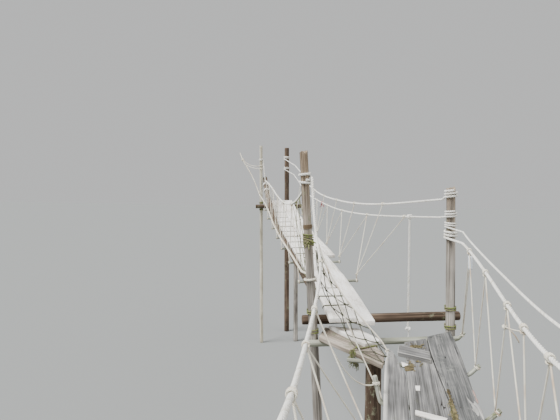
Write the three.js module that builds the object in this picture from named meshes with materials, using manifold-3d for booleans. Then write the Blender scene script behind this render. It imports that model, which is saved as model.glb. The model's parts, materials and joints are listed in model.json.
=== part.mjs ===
// A rope suspension footbridge in two spans that meet on a small timber platform.
// Millimetres, +Z up, +Y along the near span; the origin is the foot of the near left post.
import * as THREE from 'three';
import Module from 'manifold-3d';

const wasm = await Module();
wasm.setup();

// Clearance left between pieces that touch
const SEAT = 0.3;

// Posts: foot, top, radius at the foot and at the top
const POST_SIDES = 16;
const NEAR_POST_HEIGHT = 3950;
const NEAR_POST_SPACING = 780;
const NEAR_POST_RADIUS = 55;
const MID_LEFT = { foot: [-454, 4750], top: [-694, 4750, 4130], radius: [47, 38.5] };
const MID_RIGHT = { foot: [742, 5170], top: [672, 5170, 3790], radius: [50, 42] };
const PILE = { x: -14, y: 4394, foot: 86, top: 70 };
const FAR_SILL_ALONG = 6664;
const FAR_LEFT_POST = { offset: -459, height: 4560, radius: 33 };
const FAR_LEG_RIGHT = { offset: 345, height: 3240, radius: 48 };
const FAR_RIGHT_POST = { along: 7500, offset: 222, height: 4560, radius: [62, 55] };

// Near span: three planks on bearers whose ends turn up
const DECK_TOP = 2400;
const PLANK_THICKNESS = 50;
const BEARER_RADIUS = 17;
const BEARER_ROWS = [670, 1395, 2120, 2845, 3572, 4301];
const PLANK_EDGES = { left: [80, 243], middle: 249, right: 700 };
// Seam between the middle and right planks: distance along the span, place across it
const PLANK_SEAM = [[-60, 500], [1500, 506], [2700, 532], [3317, 528], [3687, 505], [4300, 468]];
const SEAM_GAP = 7;
const MIDDLE_PLANK_DROP = 8;

// Platform
const LOG_SIDES = 12;
const LOG_RADIUS = 45;
const NEAR_LOG_RADIUS = 32;
const SIDE_PLANK_THICKNESS = 44;
const TOP_BOARD_THICKNESS = 34;

// Far span: its start on the platform, its heading left of +Y, and its deck heights
const FAR_SPAN_START = [-138, 4668];
const FAR_SPAN_HEADING = 19;
const FAR_BOARD_THICKNESS = 44;
const FAR_BEARER_ALONG = [1260, 2150, 3010, 3850, 4690, 5520, 6230];
const FAR_DECK_HEIGHTS = [
  [-430, 2461], [0, 2534.6], [620, 2640], [1300, 2722], [2150, 2780], [3200, 2852],
  [4250, 2925], [5300, 3035], [6400, 3228], [6860, 3322],
];

// Rope radii
const HANDRAIL_RADIUS = 12;
const LIGHT_ROPE_RADIUS = 8;
const LACING_RADIUS = 4.5;

const group = new THREE.Group();
group.name = 'rope_suspension_footbridge';

const COLOURS = {
  post: 0x7d6a55,
  pale_pole: 0xb9b29c,
  log: 0x5f4c39,
  grey_plank: 0x9a9a95,
  pale_board: 0xc9c6ba,
  bearer: 0x83806a,
  white_rope: 0xe6e3d6,
  cream_rope: 0xd8d2ae,
  mossy_rope: 0x6d7440,
};

function addPiece(name, geometry, colour) {
  const material = new THREE.MeshStandardMaterial({ color: COLOURS[colour], roughness: 0.85 });
  material.name = colour;
  const mesh = new THREE.Mesh(geometry, material);
  mesh.name = name;
  group.add(mesh);
  return mesh;
}

const vec = (p) => new THREE.Vector3(p[0], p[1], p[2]);

// A closed body swept along points, with flat ends or joined to itself
function sweep(points, radius, sides, closed = false, face = null) {
  const path = points.map(vec);
  const count = path.length;
  const radii = Array.isArray(radius) ? radius : path.map(() => radius);
  const tangents = path.map((point, i) => {
    const before = closed ? path[(i + count - 1) % count] : path[Math.max(i - 1, 0)];
    const after = closed ? path[(i + 1) % count] : path[Math.min(i + 1, count - 1)];
    return after.clone().sub(before).normalize();
  });
  const steep = Math.abs(tangents[0].z) > 0.8;
  const start = face ? vec(face) : new THREE.Vector3(steep ? 1 : 0, 0, steep ? 0 : 1);
  const positions = [];
  let normal = start.clone();
  for (let i = 0; i < count; i += 1) {
    normal.addScaledVector(tangents[i], -normal.dot(tangents[i])).normalize();
    const across = tangents[i].clone().cross(normal);
    for (let k = 0; k < sides; k += 1) {
      const angle = ((k + 0.5) / sides) * Math.PI * 2;
      const corner = path[i].clone()
        .addScaledVector(normal, Math.cos(angle) * radii[i])
        .addScaledVector(across, Math.sin(angle) * radii[i]);
      positions.push(corner.x, corner.y, corner.z);
    }
  }
  const index = [];
  const rings = closed ? count : count - 1;
  for (let i = 0; i < rings; i += 1) {
    const here = i * sides;
    const next = ((i + 1) % count) * sides;
    for (let k = 0; k < sides; k += 1) {
      const turn = (k + 1) % sides;
      index.push(here + k, here + turn, next + turn, here + k, next + turn, next + k);
    }
  }
  if (!closed) {
    const last = (count - 1) * sides;
    for (let k = 1; k < sides - 1; k += 1) {
      index.push(0, k + 1, k, last, last + k, last + k + 1);
    }
  }
  const geometry = new THREE.BufferGeometry();
  geometry.setAttribute('position', new THREE.Float32BufferAttribute(positions, 3));
  geometry.setIndex(index);
  geometry.computeVertexNormals();
  return geometry;
}

// A slab with corners given in plan, between two heights
function slab(corners, bottom, top) {
  const shape = new THREE.Shape(corners.map(([x, y]) => new THREE.Vector2(x, y)));
  const geometry = new THREE.ExtrudeGeometry(shape, { depth: top - bottom, bevelEnabled: false });
  geometry.translate(0, 0, bottom);
  return geometry;
}

function fuse(geometries) {
  let whole = null;
  for (const geometry of geometries) {
    const solid = new wasm.Manifold(new wasm.Mesh({
      numProp: 3,
      vertProperties: Float32Array.from(geometry.attributes.position.array),
      triVerts: Uint32Array.from(geometry.index.array),
    }));
    whole = whole ? whole.add(solid) : solid;
  }
  const mesh = whole.getMesh();
  const fused = new THREE.BufferGeometry();
  fused.setAttribute('position', new THREE.Float32BufferAttribute(mesh.vertProperties, 3));
  fused.setIndex(Array.from(mesh.triVerts));
  fused.computeVertexNormals();
  return fused;
}

// Smooth line through the points, keeping each of them
function smooth(points, steps) {
  const curve = new THREE.CatmullRomCurve3(points.map(vec), false, 'centripetal');
  const line = [];
  const total = (points.length - 1) * steps;
  for (let i = 0; i <= total; i += 1) {
    line.push(curve.getPoint(i / total).toArray());
  }
  return line;
}

// Centre of a leaning post at a height
function postAt(post, height) {
  const [footX, footY] = post.foot;
  const [topX, topY, topZ] = post.top;
  const share = height / topZ;
  const radius = post.radius[0] + (post.radius[1] - post.radius[0]) * share;
  return { x: footX + (topX - footX) * share, y: footY + (topY - footY) * share, radius };
}

// Turns of rope round a post, starting where a rope from `from` meets it on one side (+1 or -1)
function wrapPost(post, ropeRadius, from, height, turns, side, rise) {
  const centre = postAt(post, height);
  const distance = Math.hypot(from[0] - centre.x, from[1] - centre.y);
  const steps = 12;
  const ring = (centre.radius + ropeRadius + SEAT) / Math.cos(Math.PI / steps);
  const start = Math.atan2(from[1] - centre.y, from[0] - centre.x) + side * Math.acos(ring / distance);
  const points = [];
  const total = Math.round(turns * steps);
  for (let i = 0; i <= total; i += 1) {
    const z = height + (rise * i) / steps;
    const here = postAt(post, z);
    const angle = start + (side * i * Math.PI * 2) / steps;
    points.push([here.x + Math.cos(angle) * ring, here.y + Math.sin(angle) * ring, z]);
  }
  return points;
}

const NEAR_LEFT = { foot: [0, 0], top: [0, 0, NEAR_POST_HEIGHT], radius: [NEAR_POST_RADIUS, 50] };
const NEAR_RIGHT = {
  foot: [NEAR_POST_SPACING, 0],
  top: [NEAR_POST_SPACING, 0, NEAR_POST_HEIGHT],
  radius: [NEAR_POST_RADIUS, 50],
};

// Frame of the far span: distance along it, offset to its right, height
const heading = THREE.MathUtils.degToRad(FAR_SPAN_HEADING);
function farSpan(along, offset, z) {
  return [
    FAR_SPAN_START[0] - Math.sin(heading) * along + Math.cos(heading) * offset,
    FAR_SPAN_START[1] + Math.cos(heading) * along + Math.sin(heading) * offset,
    z,
  ];
}
const farDeckCurve = new THREE.CatmullRomCurve3(
  FAR_DECK_HEIGHTS.map(([along, z]) => new THREE.Vector3(along, 0, z)), false, 'centripetal');
const farDeckSamples = farDeckCurve.getPoints(400);
function between(samples, along) {
  const next = Math.max(1, samples.findIndex((point) => point.x >= along));
  const a = samples[next - 1];
  const b = samples[next];
  return a.z + ((b.z - a.z) * (along - a.x)) / (b.x - a.x);
}
// Every board bends at the same stations
const STATION = 430;
const farStations = [];
for (let along = -STATION; along <= 6880; along += STATION) {
  const reach = Math.min(along, FAR_DECK_HEIGHTS.at(-1)[0]);
  farStations.push({ x: along, z: between(farDeckSamples, reach) });
}
const farDeckTop = (along) => between(farStations, along);
const farDeckSlope = (along) => (farDeckTop(along + 40) - farDeckTop(along - 40)) / 80;
// Far posts stand against the far side of the sill log
const FAR_SILL_HEIGHT = 3200;
const flat = (radius, sides) => radius * Math.cos(Math.PI / sides);
const farPost = (offset, height, radius) => {
  const atSill = radius[0] + ((radius[1] - radius[0]) * FAR_SILL_HEIGHT) / height;
  const along = FAR_SILL_ALONG + flat(LOG_RADIUS, LOG_SIDES) + SEAT + flat(atSill, POST_SIDES);
  const [x, y] = farSpan(along, offset, 0);
  return { foot: [x, y], top: [x, y, height], radius, along };
};
const FAR_LEFT = farPost(FAR_LEFT_POST.offset, FAR_LEFT_POST.height, [38, FAR_LEFT_POST.radius]);
const FAR_LEG = farPost(FAR_LEG_RIGHT.offset, FAR_LEG_RIGHT.height, [52, FAR_LEG_RIGHT.radius]);
const [farRightX, farRightY] = farSpan(FAR_RIGHT_POST.along, FAR_RIGHT_POST.offset, 0);
const FAR_RIGHT = {
  foot: [farRightX, farRightY],
  top: [farRightX, farRightY, FAR_RIGHT_POST.height],
  radius: FAR_RIGHT_POST.radius,
};

// Posts, each with a level foot
function postGeometry(post, face = null) {
  const [x, y] = post.foot;
  const [topX, topY, topZ] = post.top;
  const stub = 40;
  const share = stub / topZ;
  const points = [
    [x, y, 0],
    [x, y, stub],
    [x + (topX - x) * 0.5, y + (topY - y) * 0.5, topZ * 0.5],
    [topX, topY, topZ],
  ];
  const [low, high] = post.radius;
  return sweep(points, [low, low + (high - low) * share, (low + high) / 2, high], POST_SIDES, false, face);
}
const alongFarSpan = [-Math.sin(heading), Math.cos(heading), 0];
const acrossFarSpan = [Math.cos(heading), Math.sin(heading), 0];
addPiece('near_post_left', postGeometry(NEAR_LEFT), 'post');
addPiece('near_post_right', postGeometry(NEAR_RIGHT), 'post');
addPiece('far_post_left', postGeometry(FAR_LEFT, alongFarSpan), 'pale_pole');
addPiece('far_leg_right', postGeometry(FAR_LEG, alongFarSpan), 'post');
addPiece('far_post_right', postGeometry(FAR_RIGHT, alongFarSpan), 'post');

// Near sill log, against the posts and under the planks
const plankBottom = DECK_TOP - PLANK_THICKNESS;
const sillZ = plankBottom - SEAT - flat(LOG_RADIUS, LOG_SIDES);
const sillY = flat(postAt(NEAR_LEFT, sillZ).radius, POST_SIDES) + flat(LOG_RADIUS, LOG_SIDES) + SEAT;
addPiece('near_sill', sweep([[-140, sillY, sillZ], [920, sillY, sillZ]], LOG_RADIUS, LOG_SIDES), 'log');

// Planks of the near span; the left one tapers to a worn point
const [leftA, leftB] = PLANK_EDGES.left;
addPiece('a_plank_left', slab([
  [leftA, -60], [leftB, -60], [leftB, 3930], [207, 4094], [190, 4211], [171, 4318], [138, 4426], [117, 4440],
  [98, 4404], [leftA, 4150],
], plankBottom, DECK_TOP), 'grey_plank');
const middleEdge = PLANK_EDGES.middle;
addPiece('a_plank_middle', slab([
  [middleEdge, -60], ...PLANK_SEAM.map(([y, x]) => [x - SEAM_GAP, y]), [449, 4840], [middleEdge, 4686],
], plankBottom, DECK_TOP - MIDDLE_PLANK_DROP), 'grey_plank');
const rightEdge = PLANK_EDGES.right;
addPiece('a_plank_right', slab([
  [rightEdge - 12, -60], [rightEdge - 4, 900], [rightEdge - 26, 1700], [rightEdge, 2600],
  [rightEdge + 4, 3150], [rightEdge - 14, 3600], [rightEdge - 4, 4000], [rightEdge + 5, 4500],
  [rightEdge - 8, 5078], [457, 4870], ...PLANK_SEAM.map(([y, x]) => [x, y]).reverse(),
], plankBottom, DECK_TOP), 'grey_plank');

// Bearers of the near span: poles laid a little askew, their right ends nearer
const BEARER_SKEW = 120;
const SKEW_FROM = 110;
const bearerZ = plankBottom - SEAT - flat(BEARER_RADIUS, 8);
const bearerTips = { left: [], right: [] };
function nearBearer(y, leftUp) {
  const profile = [
    ...(leftUp ? [[17, 189], [36, 108], [50, 46], [60, 12], [74, 0], [94, 0]] : [[-230, 0]]),
    [SKEW_FROM, 0], [640, 0], [712, 0], [726, 6], [750, 32], [775, 62], [799, 92],
  ];
  const reach = profile.at(-1)[0] - SKEW_FROM;
  const shift = (x) => (BEARER_SKEW * Math.max(0, x - SKEW_FROM)) / reach;
  return profile.map(([x, rise]) => [x, y - shift(x), bearerZ + rise]);
}
BEARER_ROWS.forEach((y, i) => {
  const leftUp = i < BEARER_ROWS.length - 1;
  const path = nearBearer(y, leftUp);
  addPiece(`a_bearer_${i + 1}`, sweep(path, BEARER_RADIUS, 8), 'bearer');
  if (leftUp) {
    bearerTips.left.push(path);
  }
  bearerTips.right.push(path.slice().reverse());
});

// Platform logs against the middle posts: a low one on their near side, a higher one on their far side
function acrossPosts(z, side, logRadius) {
  const ends = [MID_LEFT, MID_RIGHT].map((post) => postAt(post, z));
  const angle = Math.atan2(ends[1].y - ends[0].y, ends[1].x - ends[0].x);
  const across = [Math.cos(angle), Math.sin(angle)];
  const [from, to] = ends.map(({ x, y, radius }) => {
    const gap = side * (flat(radius, POST_SIDES) + flat(logRadius, LOG_SIDES) + 2 * SEAT);
    return [x - across[1] * gap, y + across[0] * gap];
  });
  const span = Math.hypot(to[0] - from[0], to[1] - from[1]);
  const at = (distance, rise = 0) => [
    from[0] + ((to[0] - from[0]) * distance) / span,
    from[1] + ((to[1] - from[1]) * distance) / span,
    z + rise,
  ];
  return { across, span, at };
}
const nearLogZ = plankBottom - SEAT - flat(NEAR_LOG_RADIUS, LOG_SIDES);
const nearLog = acrossPosts(nearLogZ, -1, NEAR_LOG_RADIUS);
const farLogZ = farDeckTop(290) - FAR_BOARD_THICKNESS - SEAT - flat(LOG_RADIUS, LOG_SIDES) - 1;
const farLog = acrossPosts(farLogZ, 1, LOG_RADIUS);
const postFace = [...nearLog.across, 0];
addPiece('mid_post_left', postGeometry(MID_LEFT, postFace), 'post');
addPiece('mid_post_right', postGeometry(MID_RIGHT, postFace), 'post');
const nearLogTip = [nearLog.at(nearLog.span + 64, 14), nearLog.at(nearLog.span + 110, 62)];
addPiece('mid_log_near', sweep([
  nearLog.at(-110), nearLog.at(nearLog.span - 60), nearLog.at(nearLog.span + 30), ...nearLogTip,
], [NEAR_LOG_RADIUS, NEAR_LOG_RADIUS, 26, 16, 12], LOG_SIDES), 'log');
addPiece('mid_log_far', sweep([farLog.at(-90), farLog.at(farLog.span + 130)], LOG_RADIUS, LOG_SIDES), 'log');
addPiece('mid_pile', sweep([
  [PILE.x, PILE.y, 0], [PILE.x, PILE.y, 1200], [PILE.x, PILE.y, plankBottom - 2 * SEAT],
], [PILE.foot, (PILE.foot + PILE.top) / 2, PILE.top], 10), 'log');

// Flat side plank from the middle left post to the tip of the near left plank, and a wedge of board on it
const sidePlankTop = plankBottom + SIDE_PLANK_THICKNESS;
const SIDE_PLANK = [
  [-530, 4668], [-469, 4613], [66, 4121], [76, 4372], [-21, 4559], [-309, 4870], [-509, 4958],
];
addPiece('mid_side_plank', slab(SIDE_PLANK, plankBottom, sidePlankTop), 'grey_plank');
addPiece('mid_wedge_board', slab([
  [-462, 4892], [-92, 4466], [54, 4593], [-180, 4872],
], sidePlankTop + SEAT, sidePlankTop + TOP_BOARD_THICKNESS), 'pale_board');
const middlePlankTop = DECK_TOP - MIDDLE_PLANK_DROP;
addPiece('mid_step_board', slab([[184, 4325], [440, 4213], [446, 4395], [198, 4508]],
  middlePlankTop + SEAT, middlePlankTop + TOP_BOARD_THICKNESS + 4), 'grey_plank');

// Boards of the far span: a profile along the span, given width across it
function farBoard(start, end, leftEdge, rightEdge) {
  const inner = farStations.map((station) => station.x).filter((x) => x > start + 5 && x < end - 5);
  const top = [start, ...inner, end].map((along) => [along, farDeckTop(along)]);
  const outline = [...top, ...top.slice().reverse().map(([along, z]) => [along, z - FAR_BOARD_THICKNESS])];
  const shape = new THREE.Shape(outline.map(([along, z]) => new THREE.Vector2(along, z)));
  const width = rightEdge - leftEdge;
  const geometry = new THREE.ExtrudeGeometry(shape, { depth: width, bevelEnabled: false });
  const position = geometry.attributes.position;
  for (let i = 0; i < position.count; i += 1) {
    const point = farSpan(position.getX(i), leftEdge + position.getZ(i), position.getY(i));
    position.setXYZ(i, ...point);
  }
  return geometry;
}
const farBoards = {
  b_board_left_1: [135, 1500, -266, -8],
  b_board_right_1: [60, 2296, -2, 150],
  b_board_left_2: [1504, 4100, -270, -8],
  b_board_right_2: [2300, 4690, -2, 270],
  b_board_left_3: [4104, 6850, -268, -8],
  b_board_right_3: [4694, 6850, -2, 264],
};
Object.entries(farBoards).forEach(([name, [start, end, leftEdge, rightEdge]]) => {
  addPiece(name, farBoard(start, end, leftEdge, rightEdge), 'pale_board');
});

// Bearers of the far span, with straight ends
const bearerFlat = flat(BEARER_RADIUS, 8);
const farBearerZ = FAR_BEARER_ALONG.map((along) => (
  farDeckTop(along) - FAR_BOARD_THICKNESS - SEAT - bearerFlat - Math.abs(farDeckSlope(along)) * 8));
const farTips = { left: [], right: [] };
FAR_BEARER_ALONG.forEach((along, i) => {
  const reach = 408 + 12 * Math.max(0, i - 4);
  const path = [-reach, 28 - reach, 286, 314].map((offset) => farSpan(along, offset, farBearerZ[i]));
  addPiece(`b_bearer_${i + 1}`, sweep(path, BEARER_RADIUS, 8, false, acrossFarSpan), 'bearer');
  farTips.left.push(path);
  farTips.right.push(path.slice().reverse());
});

// Log along the left edge of the far span, lying on the bearers and climbing to the far post
const onBearer = (i, radius) => farBearerZ[i] + bearerFlat + flat(radius, 10) + SEAT + 1;
const sideLogLine = [
  [560, -320, farDeckTop(560) + 6, 27],
  [FAR_BEARER_ALONG[0], -322, onBearer(0, 30), 30],
  [FAR_BEARER_ALONG[1], -322, onBearer(1, 33), 33],
  [FAR_BEARER_ALONG[2], -322, onBearer(2, 36), 36],
  [FAR_BEARER_ALONG[3], -324, onBearer(3, 40), 40],
  [4690, -328, onBearer(4, 44) + 30, 44],
  [5200, -332, farDeckTop(5200) + 90, 47],
  [5900, -342, farDeckTop(5900) + 190, 50],
  [6500, -358, farDeckTop(6500) + 350, 52],
  [6800, -364, farDeckTop(6800) + 520, 52],
];
const sideLogPoints = smooth(sideLogLine.map(([along, offset, z]) => farSpan(along, offset, z)), 2);
const sideLogRadii = sideLogPoints.map((_, i) => {
  const before = sideLogLine[Math.floor(i / 2)][3];
  const after = sideLogLine[Math.ceil(i / 2)][3];
  return (before + after) / 2;
});
addPiece('b_side_log', sweep(sideLogPoints, sideLogRadii, 10), 'log');

// Far sill log under the board ends, against the posts
const farSillZ = farDeckTop(FAR_SILL_ALONG) - FAR_BOARD_THICKNESS - flat(LOG_RADIUS, LOG_SIDES) - SEAT
  - farDeckSlope(FAR_SILL_ALONG) * 14;
addPiece('far_sill', sweep([
  farSpan(FAR_SILL_ALONG, -590, farSillZ), farSpan(FAR_SILL_ALONG, 500, farSillZ),
], LOG_RADIUS, LOG_SIDES), 'log');

// Loop of rope round the side plank, slack below it: distance in from the front edge, shift along it, height
{
  const rope = 8;
  const [cornerX, cornerY] = [-180, 4348];
  const [inX, inY] = [0.677, 0.736];
  const onTop = sidePlankTop + rope + 2 * SEAT;
  const back = 246;
  const loop = [
    [-10.5, 12, sidePlankTop - 6], [-8.5, 12, sidePlankTop + 8], [3, 12, onTop + 1], [44, 9, onTop + 20.4],
    [88, 2, onTop], [back - 3, -20, onTop], [back + 8.5, -22, sidePlankTop + 8],
    [back + 10.5, -22, sidePlankTop - 6], [back + 10.5, -22, plankBottom + 4],
    [back + 7, -22, plankBottom - 10],
    [back - 20, -20, plankBottom - 18], [180, -9, plankBottom - 34], [110, 1, plankBottom - 54],
    [30, 9, plankBottom - 68], [-6, 12, plankBottom - 50], [-12, 12, plankBottom - 6],
  ];
  addPiece('mid_plank_lashing', sweep(loop.map(([inward, shift, z]) => [
    cornerX + inX * inward - inY * shift, cornerY + inY * inward + inX * shift, z,
  ]), rope, 6, true), 'mossy_rope');
}

// A closed ring of rope round a pole or a thicker rope
const ringSteps = (carried) => (carried > 30 ? 11 : 6);
function ring(centre, axis, carried, rope) {
  const steps = ringSteps(carried);
  const reach = (carried + rope + SEAT) / Math.cos(Math.PI / steps);
  const direction = vec(axis).normalize();
  const side = Math.abs(direction.z) > 0.8 ? new THREE.Vector3(1, 0, 0) : new THREE.Vector3(0, 0, 1);
  side.addScaledVector(direction, -side.dot(direction)).normalize();
  const other = direction.clone().cross(side);
  const points = [];
  for (let i = 0; i < steps; i += 1) {
    const angle = (i / steps) * Math.PI * 2;
    points.push(vec(centre)
      .addScaledVector(side, Math.cos(angle) * reach)
      .addScaledVector(other, Math.sin(angle) * reach)
      .toArray());
  }
  return sweep(points, rope, 3, true, side.toArray());
}

// Where a rope leaves a ring toward a point
function leave(station, toward, rope) {
  const inner = station.carried + rope + SEAT;
  const reach = (inner + inner / Math.cos(Math.PI / ringSteps(station.carried))) / 2;
  const direction = vec(station.axis).normalize();
  const away = vec(toward).sub(vec(station.centre));
  away.addScaledVector(direction, -away.dot(direction)).normalize();
  return vec(station.centre).addScaledVector(away, reach).toArray();
}

// A leg between two stations, straight or with a sag
function leg(a, b, rope, sag = 0) {
  const from = leave(a, b.centre, rope);
  const to = leave(b, a.centre, rope);
  const steps = sag ? 6 : 1;
  const points = [];
  for (let i = 0; i <= steps; i += 1) {
    const t = i / steps;
    const point = vec(from).lerp(vec(to), t);
    point.z -= 4 * sag * t * (1 - t);
    points.push(point.toArray());
  }
  return sweep(points, rope, 3);
}

// Station on a rope line at the control point with a number
function ropeStation(line, steps, number, carried) {
  const at = number * steps;
  const axis = vec(line[Math.min(at + 1, line.length - 1)]).sub(vec(line[Math.max(at - 1, 0)])).toArray();
  return { centre: line[at], axis, carried };
}
// Station near the tip of a bearer whose path starts at that tip; the ring sits down on the bearer's flats
const TIP_RADIUS = BEARER_RADIUS - 0.7;
function tipStation(path, share = 0.62) {
  const centre = vec(path[0]).lerp(vec(path[1]), share).toArray();
  return { centre, axis: vec(path[0]).sub(vec(path[1])).toArray(), carried: TIP_RADIUS };
}
function lacing(stations, legs, rope) {
  return fuse([
    ...stations.map((station) => ring(station.centre, station.axis, station.carried, rope)),
    ...legs.map(([a, b, sag]) => leg(stations[a], stations[b], rope, sag)),
  ]);
}

// Near span, left handrail: from the near post to the middle left post
const ROPE_STEPS = 2;
const aLeftLine = [
  [-62, 420, 3580], [-102, 900, 3432], [-122, 1130, 3368], [-196, 1757, 3203], [-275, 2480, 3103],
  [-345, 3200, 3071], [-367, 3550, 3150], [-401, 3850, 3247], [-495, 4250, 3402], [-556, 4500, 3590],
  [-606, 4716, 3872],
];
const aLeftSpan = smooth(aLeftLine, ROPE_STEPS);
addPiece('a_handrail_left', sweep([
  ...wrapPost(NEAR_LEFT, HANDRAIL_RADIUS, aLeftLine[0], 3700, 1.4, 1, 29).reverse(),
  ...aLeftSpan,
  ...wrapPost(MID_LEFT, HANDRAIL_RADIUS, aLeftLine.at(-1), 3888, 1.2, 1, 27),
], HANDRAIL_RADIUS, 6), 'white_rope');

// Near span, right handrail and the light rope above it
const aRightLine = [
  [776, 350, 3480], [772, 1030, 3330], [768, 1757, 3205], [765, 2464, 3137], [765, 2872, 3136],
  [765, 3224, 3159], [765, 3878, 3217], [763, 4580, 3262], [752, 4900, 3280],
];
const aRightSpan = smooth(aRightLine, ROPE_STEPS);
addPiece('a_handrail_right', sweep([
  ...wrapPost(NEAR_RIGHT, HANDRAIL_RADIUS, aRightLine[0], 3560, 1.4, -1, 29).reverse(),
  ...aRightSpan,
  ...wrapPost(MID_RIGHT, HANDRAIL_RADIUS, aRightLine.at(-1), 3296, 1.3, -1, 29),
], HANDRAIL_RADIUS, 6), 'white_rope');
const aUpperLine = [
  [792, 400, 3600], [786, 1200, 3420], [778, 2393, 3290], [778, 3478, 3292], [774, 4700, 3340],
  [762, 4960, 3376],
];
addPiece('a_upper_rope_right', sweep([
  ...wrapPost(NEAR_RIGHT, LIGHT_ROPE_RADIUS, aUpperLine[0], 3720, 1.4, -1, 20).reverse(),
  ...smooth(aUpperLine, 2),
  ...wrapPost(MID_RIGHT, LIGHT_ROPE_RADIUS, aUpperLine.at(-1), 3400, 1.3, -1, 20),
], LIGHT_ROPE_RADIUS, 5), 'white_rope');

// Lacing between the handrails and the bearer ends
const sillEnd = (x) => ({ centre: [x, sillY, sillZ], axis: [1, 0, 0], carried: LOG_RADIUS });
{
  const tips = bearerTips.left.map((path) => tipStation(path));
  const knots = [1, 3, 4, 5, 7].map((n) => ropeStation(aLeftSpan, ROPE_STEPS, n, HANDRAIL_RADIUS));
  const stations = [sillEnd(-118), knots[0], tips[0], tips[1], knots[1], tips[2], knots[2], tips[3], knots[3],
    tips[4], knots[4]];
  addPiece('a_lacing_left', lacing(stations, [
    [0, 1], [1, 2], [1, 3], [3, 4], [4, 5], [5, 6], [6, 7], [7, 8], [8, 9, 150], [9, 10],
  ], LACING_RADIUS), 'cream_rope');
}
const nearLogEnd = {
  centre: vec(nearLogTip[1]).lerp(vec(nearLogTip[0]), 0.5).toArray(),
  axis: vec(nearLogTip[1]).sub(vec(nearLogTip[0])).toArray(),
  carried: 15,
};
{
  const tips = bearerTips.right.map((path) => tipStation(path));
  const knots = [0, 1, 2, 3, 4, 5, 6, 7].map((n) => ropeStation(aRightSpan, ROPE_STEPS, n, HANDRAIL_RADIUS));
  const stations = [sillEnd(898), knots[0], tips[0], knots[1], tips[1], knots[2], tips[2], knots[3], tips[3],
    knots[4], knots[5], tips[4], knots[6], tips[5], knots[7], nearLogEnd];
  addPiece('a_lacing_right', lacing(stations, [
    [0, 1], [1, 2], [2, 3], [3, 4], [4, 5], [5, 6], [6, 7], [7, 8], [8, 9], [8, 10], [10, 11], [11, 12],
    [12, 13], [13, 14], [14, 15],
  ], LACING_RADIUS), 'cream_rope');
}

// Points spread evenly along a line
function spread(points, count) {
  const lengths = points.map((point, i) => (i ? vec(point).distanceTo(vec(points[i - 1])) : 0));
  const total = lengths.reduce((sum, length) => sum + length, 0);
  const result = [];
  for (let n = 0; n < count; n += 1) {
    let rest = (total * n) / (count - 1);
    let i = 1;
    while (i < points.length - 1 && rest > lengths[i]) {
      rest -= lengths[i];
      i += 1;
    }
    result.push(vec(points[i - 1]).lerp(vec(points[i]), Math.min(1, rest / lengths[i])).toArray());
  }
  return result;
}

// Net of cords that cross between an upper and a lower line of the same number of points
const NET_ROWS = 4;
const NET_CORD = 3.5;
function net(upper, lower) {
  const last = upper.length - 1;
  const node = (i, j) => vec(upper[i]).lerp(vec(lower[i]), j / NET_ROWS).toArray();
  const strands = [];
  for (let start = -NET_ROWS; start <= last; start += 2) {
    const falling = [];
    const rising = [];
    for (let j = 0; j <= NET_ROWS; j += 1) {
      if (start + j >= 0 && start + j <= last) {
        falling.push(node(start + j, j));
        rising.push(node(start + j, NET_ROWS - j));
      }
    }
    [falling, rising].filter((strand) => strand.length > 1).forEach((strand) => {
      strands.push(sweep(strand, NET_CORD, 3));
    });
  }
  return strands;
}

// Net in the corner between the middle left post, the side plank and the near span
const NET_BORDER = 7;
const LOWER_CORD = 4;
{
  const topLine = smooth([
    [-539, 4690, 3261], [-478, 4663, 3104], [-374, 4616, 2919], [-255, 4561, 2775], [-89, 4486, 2607],
    [46, 4425, 2479], [98, 4398, DECK_TOP + NET_BORDER + 2],
  ], 2);
  const onPlank = sidePlankTop + LOWER_CORD + SEAT;
  const lowLine = [
    [-564, 4702, 3202], [-552, 4697, 3034], [-501, 4673, 2843], [-411, 4632, 2699], [-324, 4593, 2613],
    [-256, 4562, 2461], [-164, 4400, onPlank], [-39, 4253, onPlank], [66, 4146, onPlank],
  ];
  const columns = 11;
  const upper = spread(topLine, columns);
  const lower = spread(lowLine, columns);
  addPiece('a_net_left', fuse([
    sweep([
      ...wrapPost(MID_LEFT, NET_BORDER, topLine[0], 3300, 1.2, -1, 20).reverse(), ...topLine,
    ], NET_BORDER, 6),
    sweep(lower, LOWER_CORD, 4),
    ...net(upper, lower),
  ]), 'mossy_rope');
}

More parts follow.
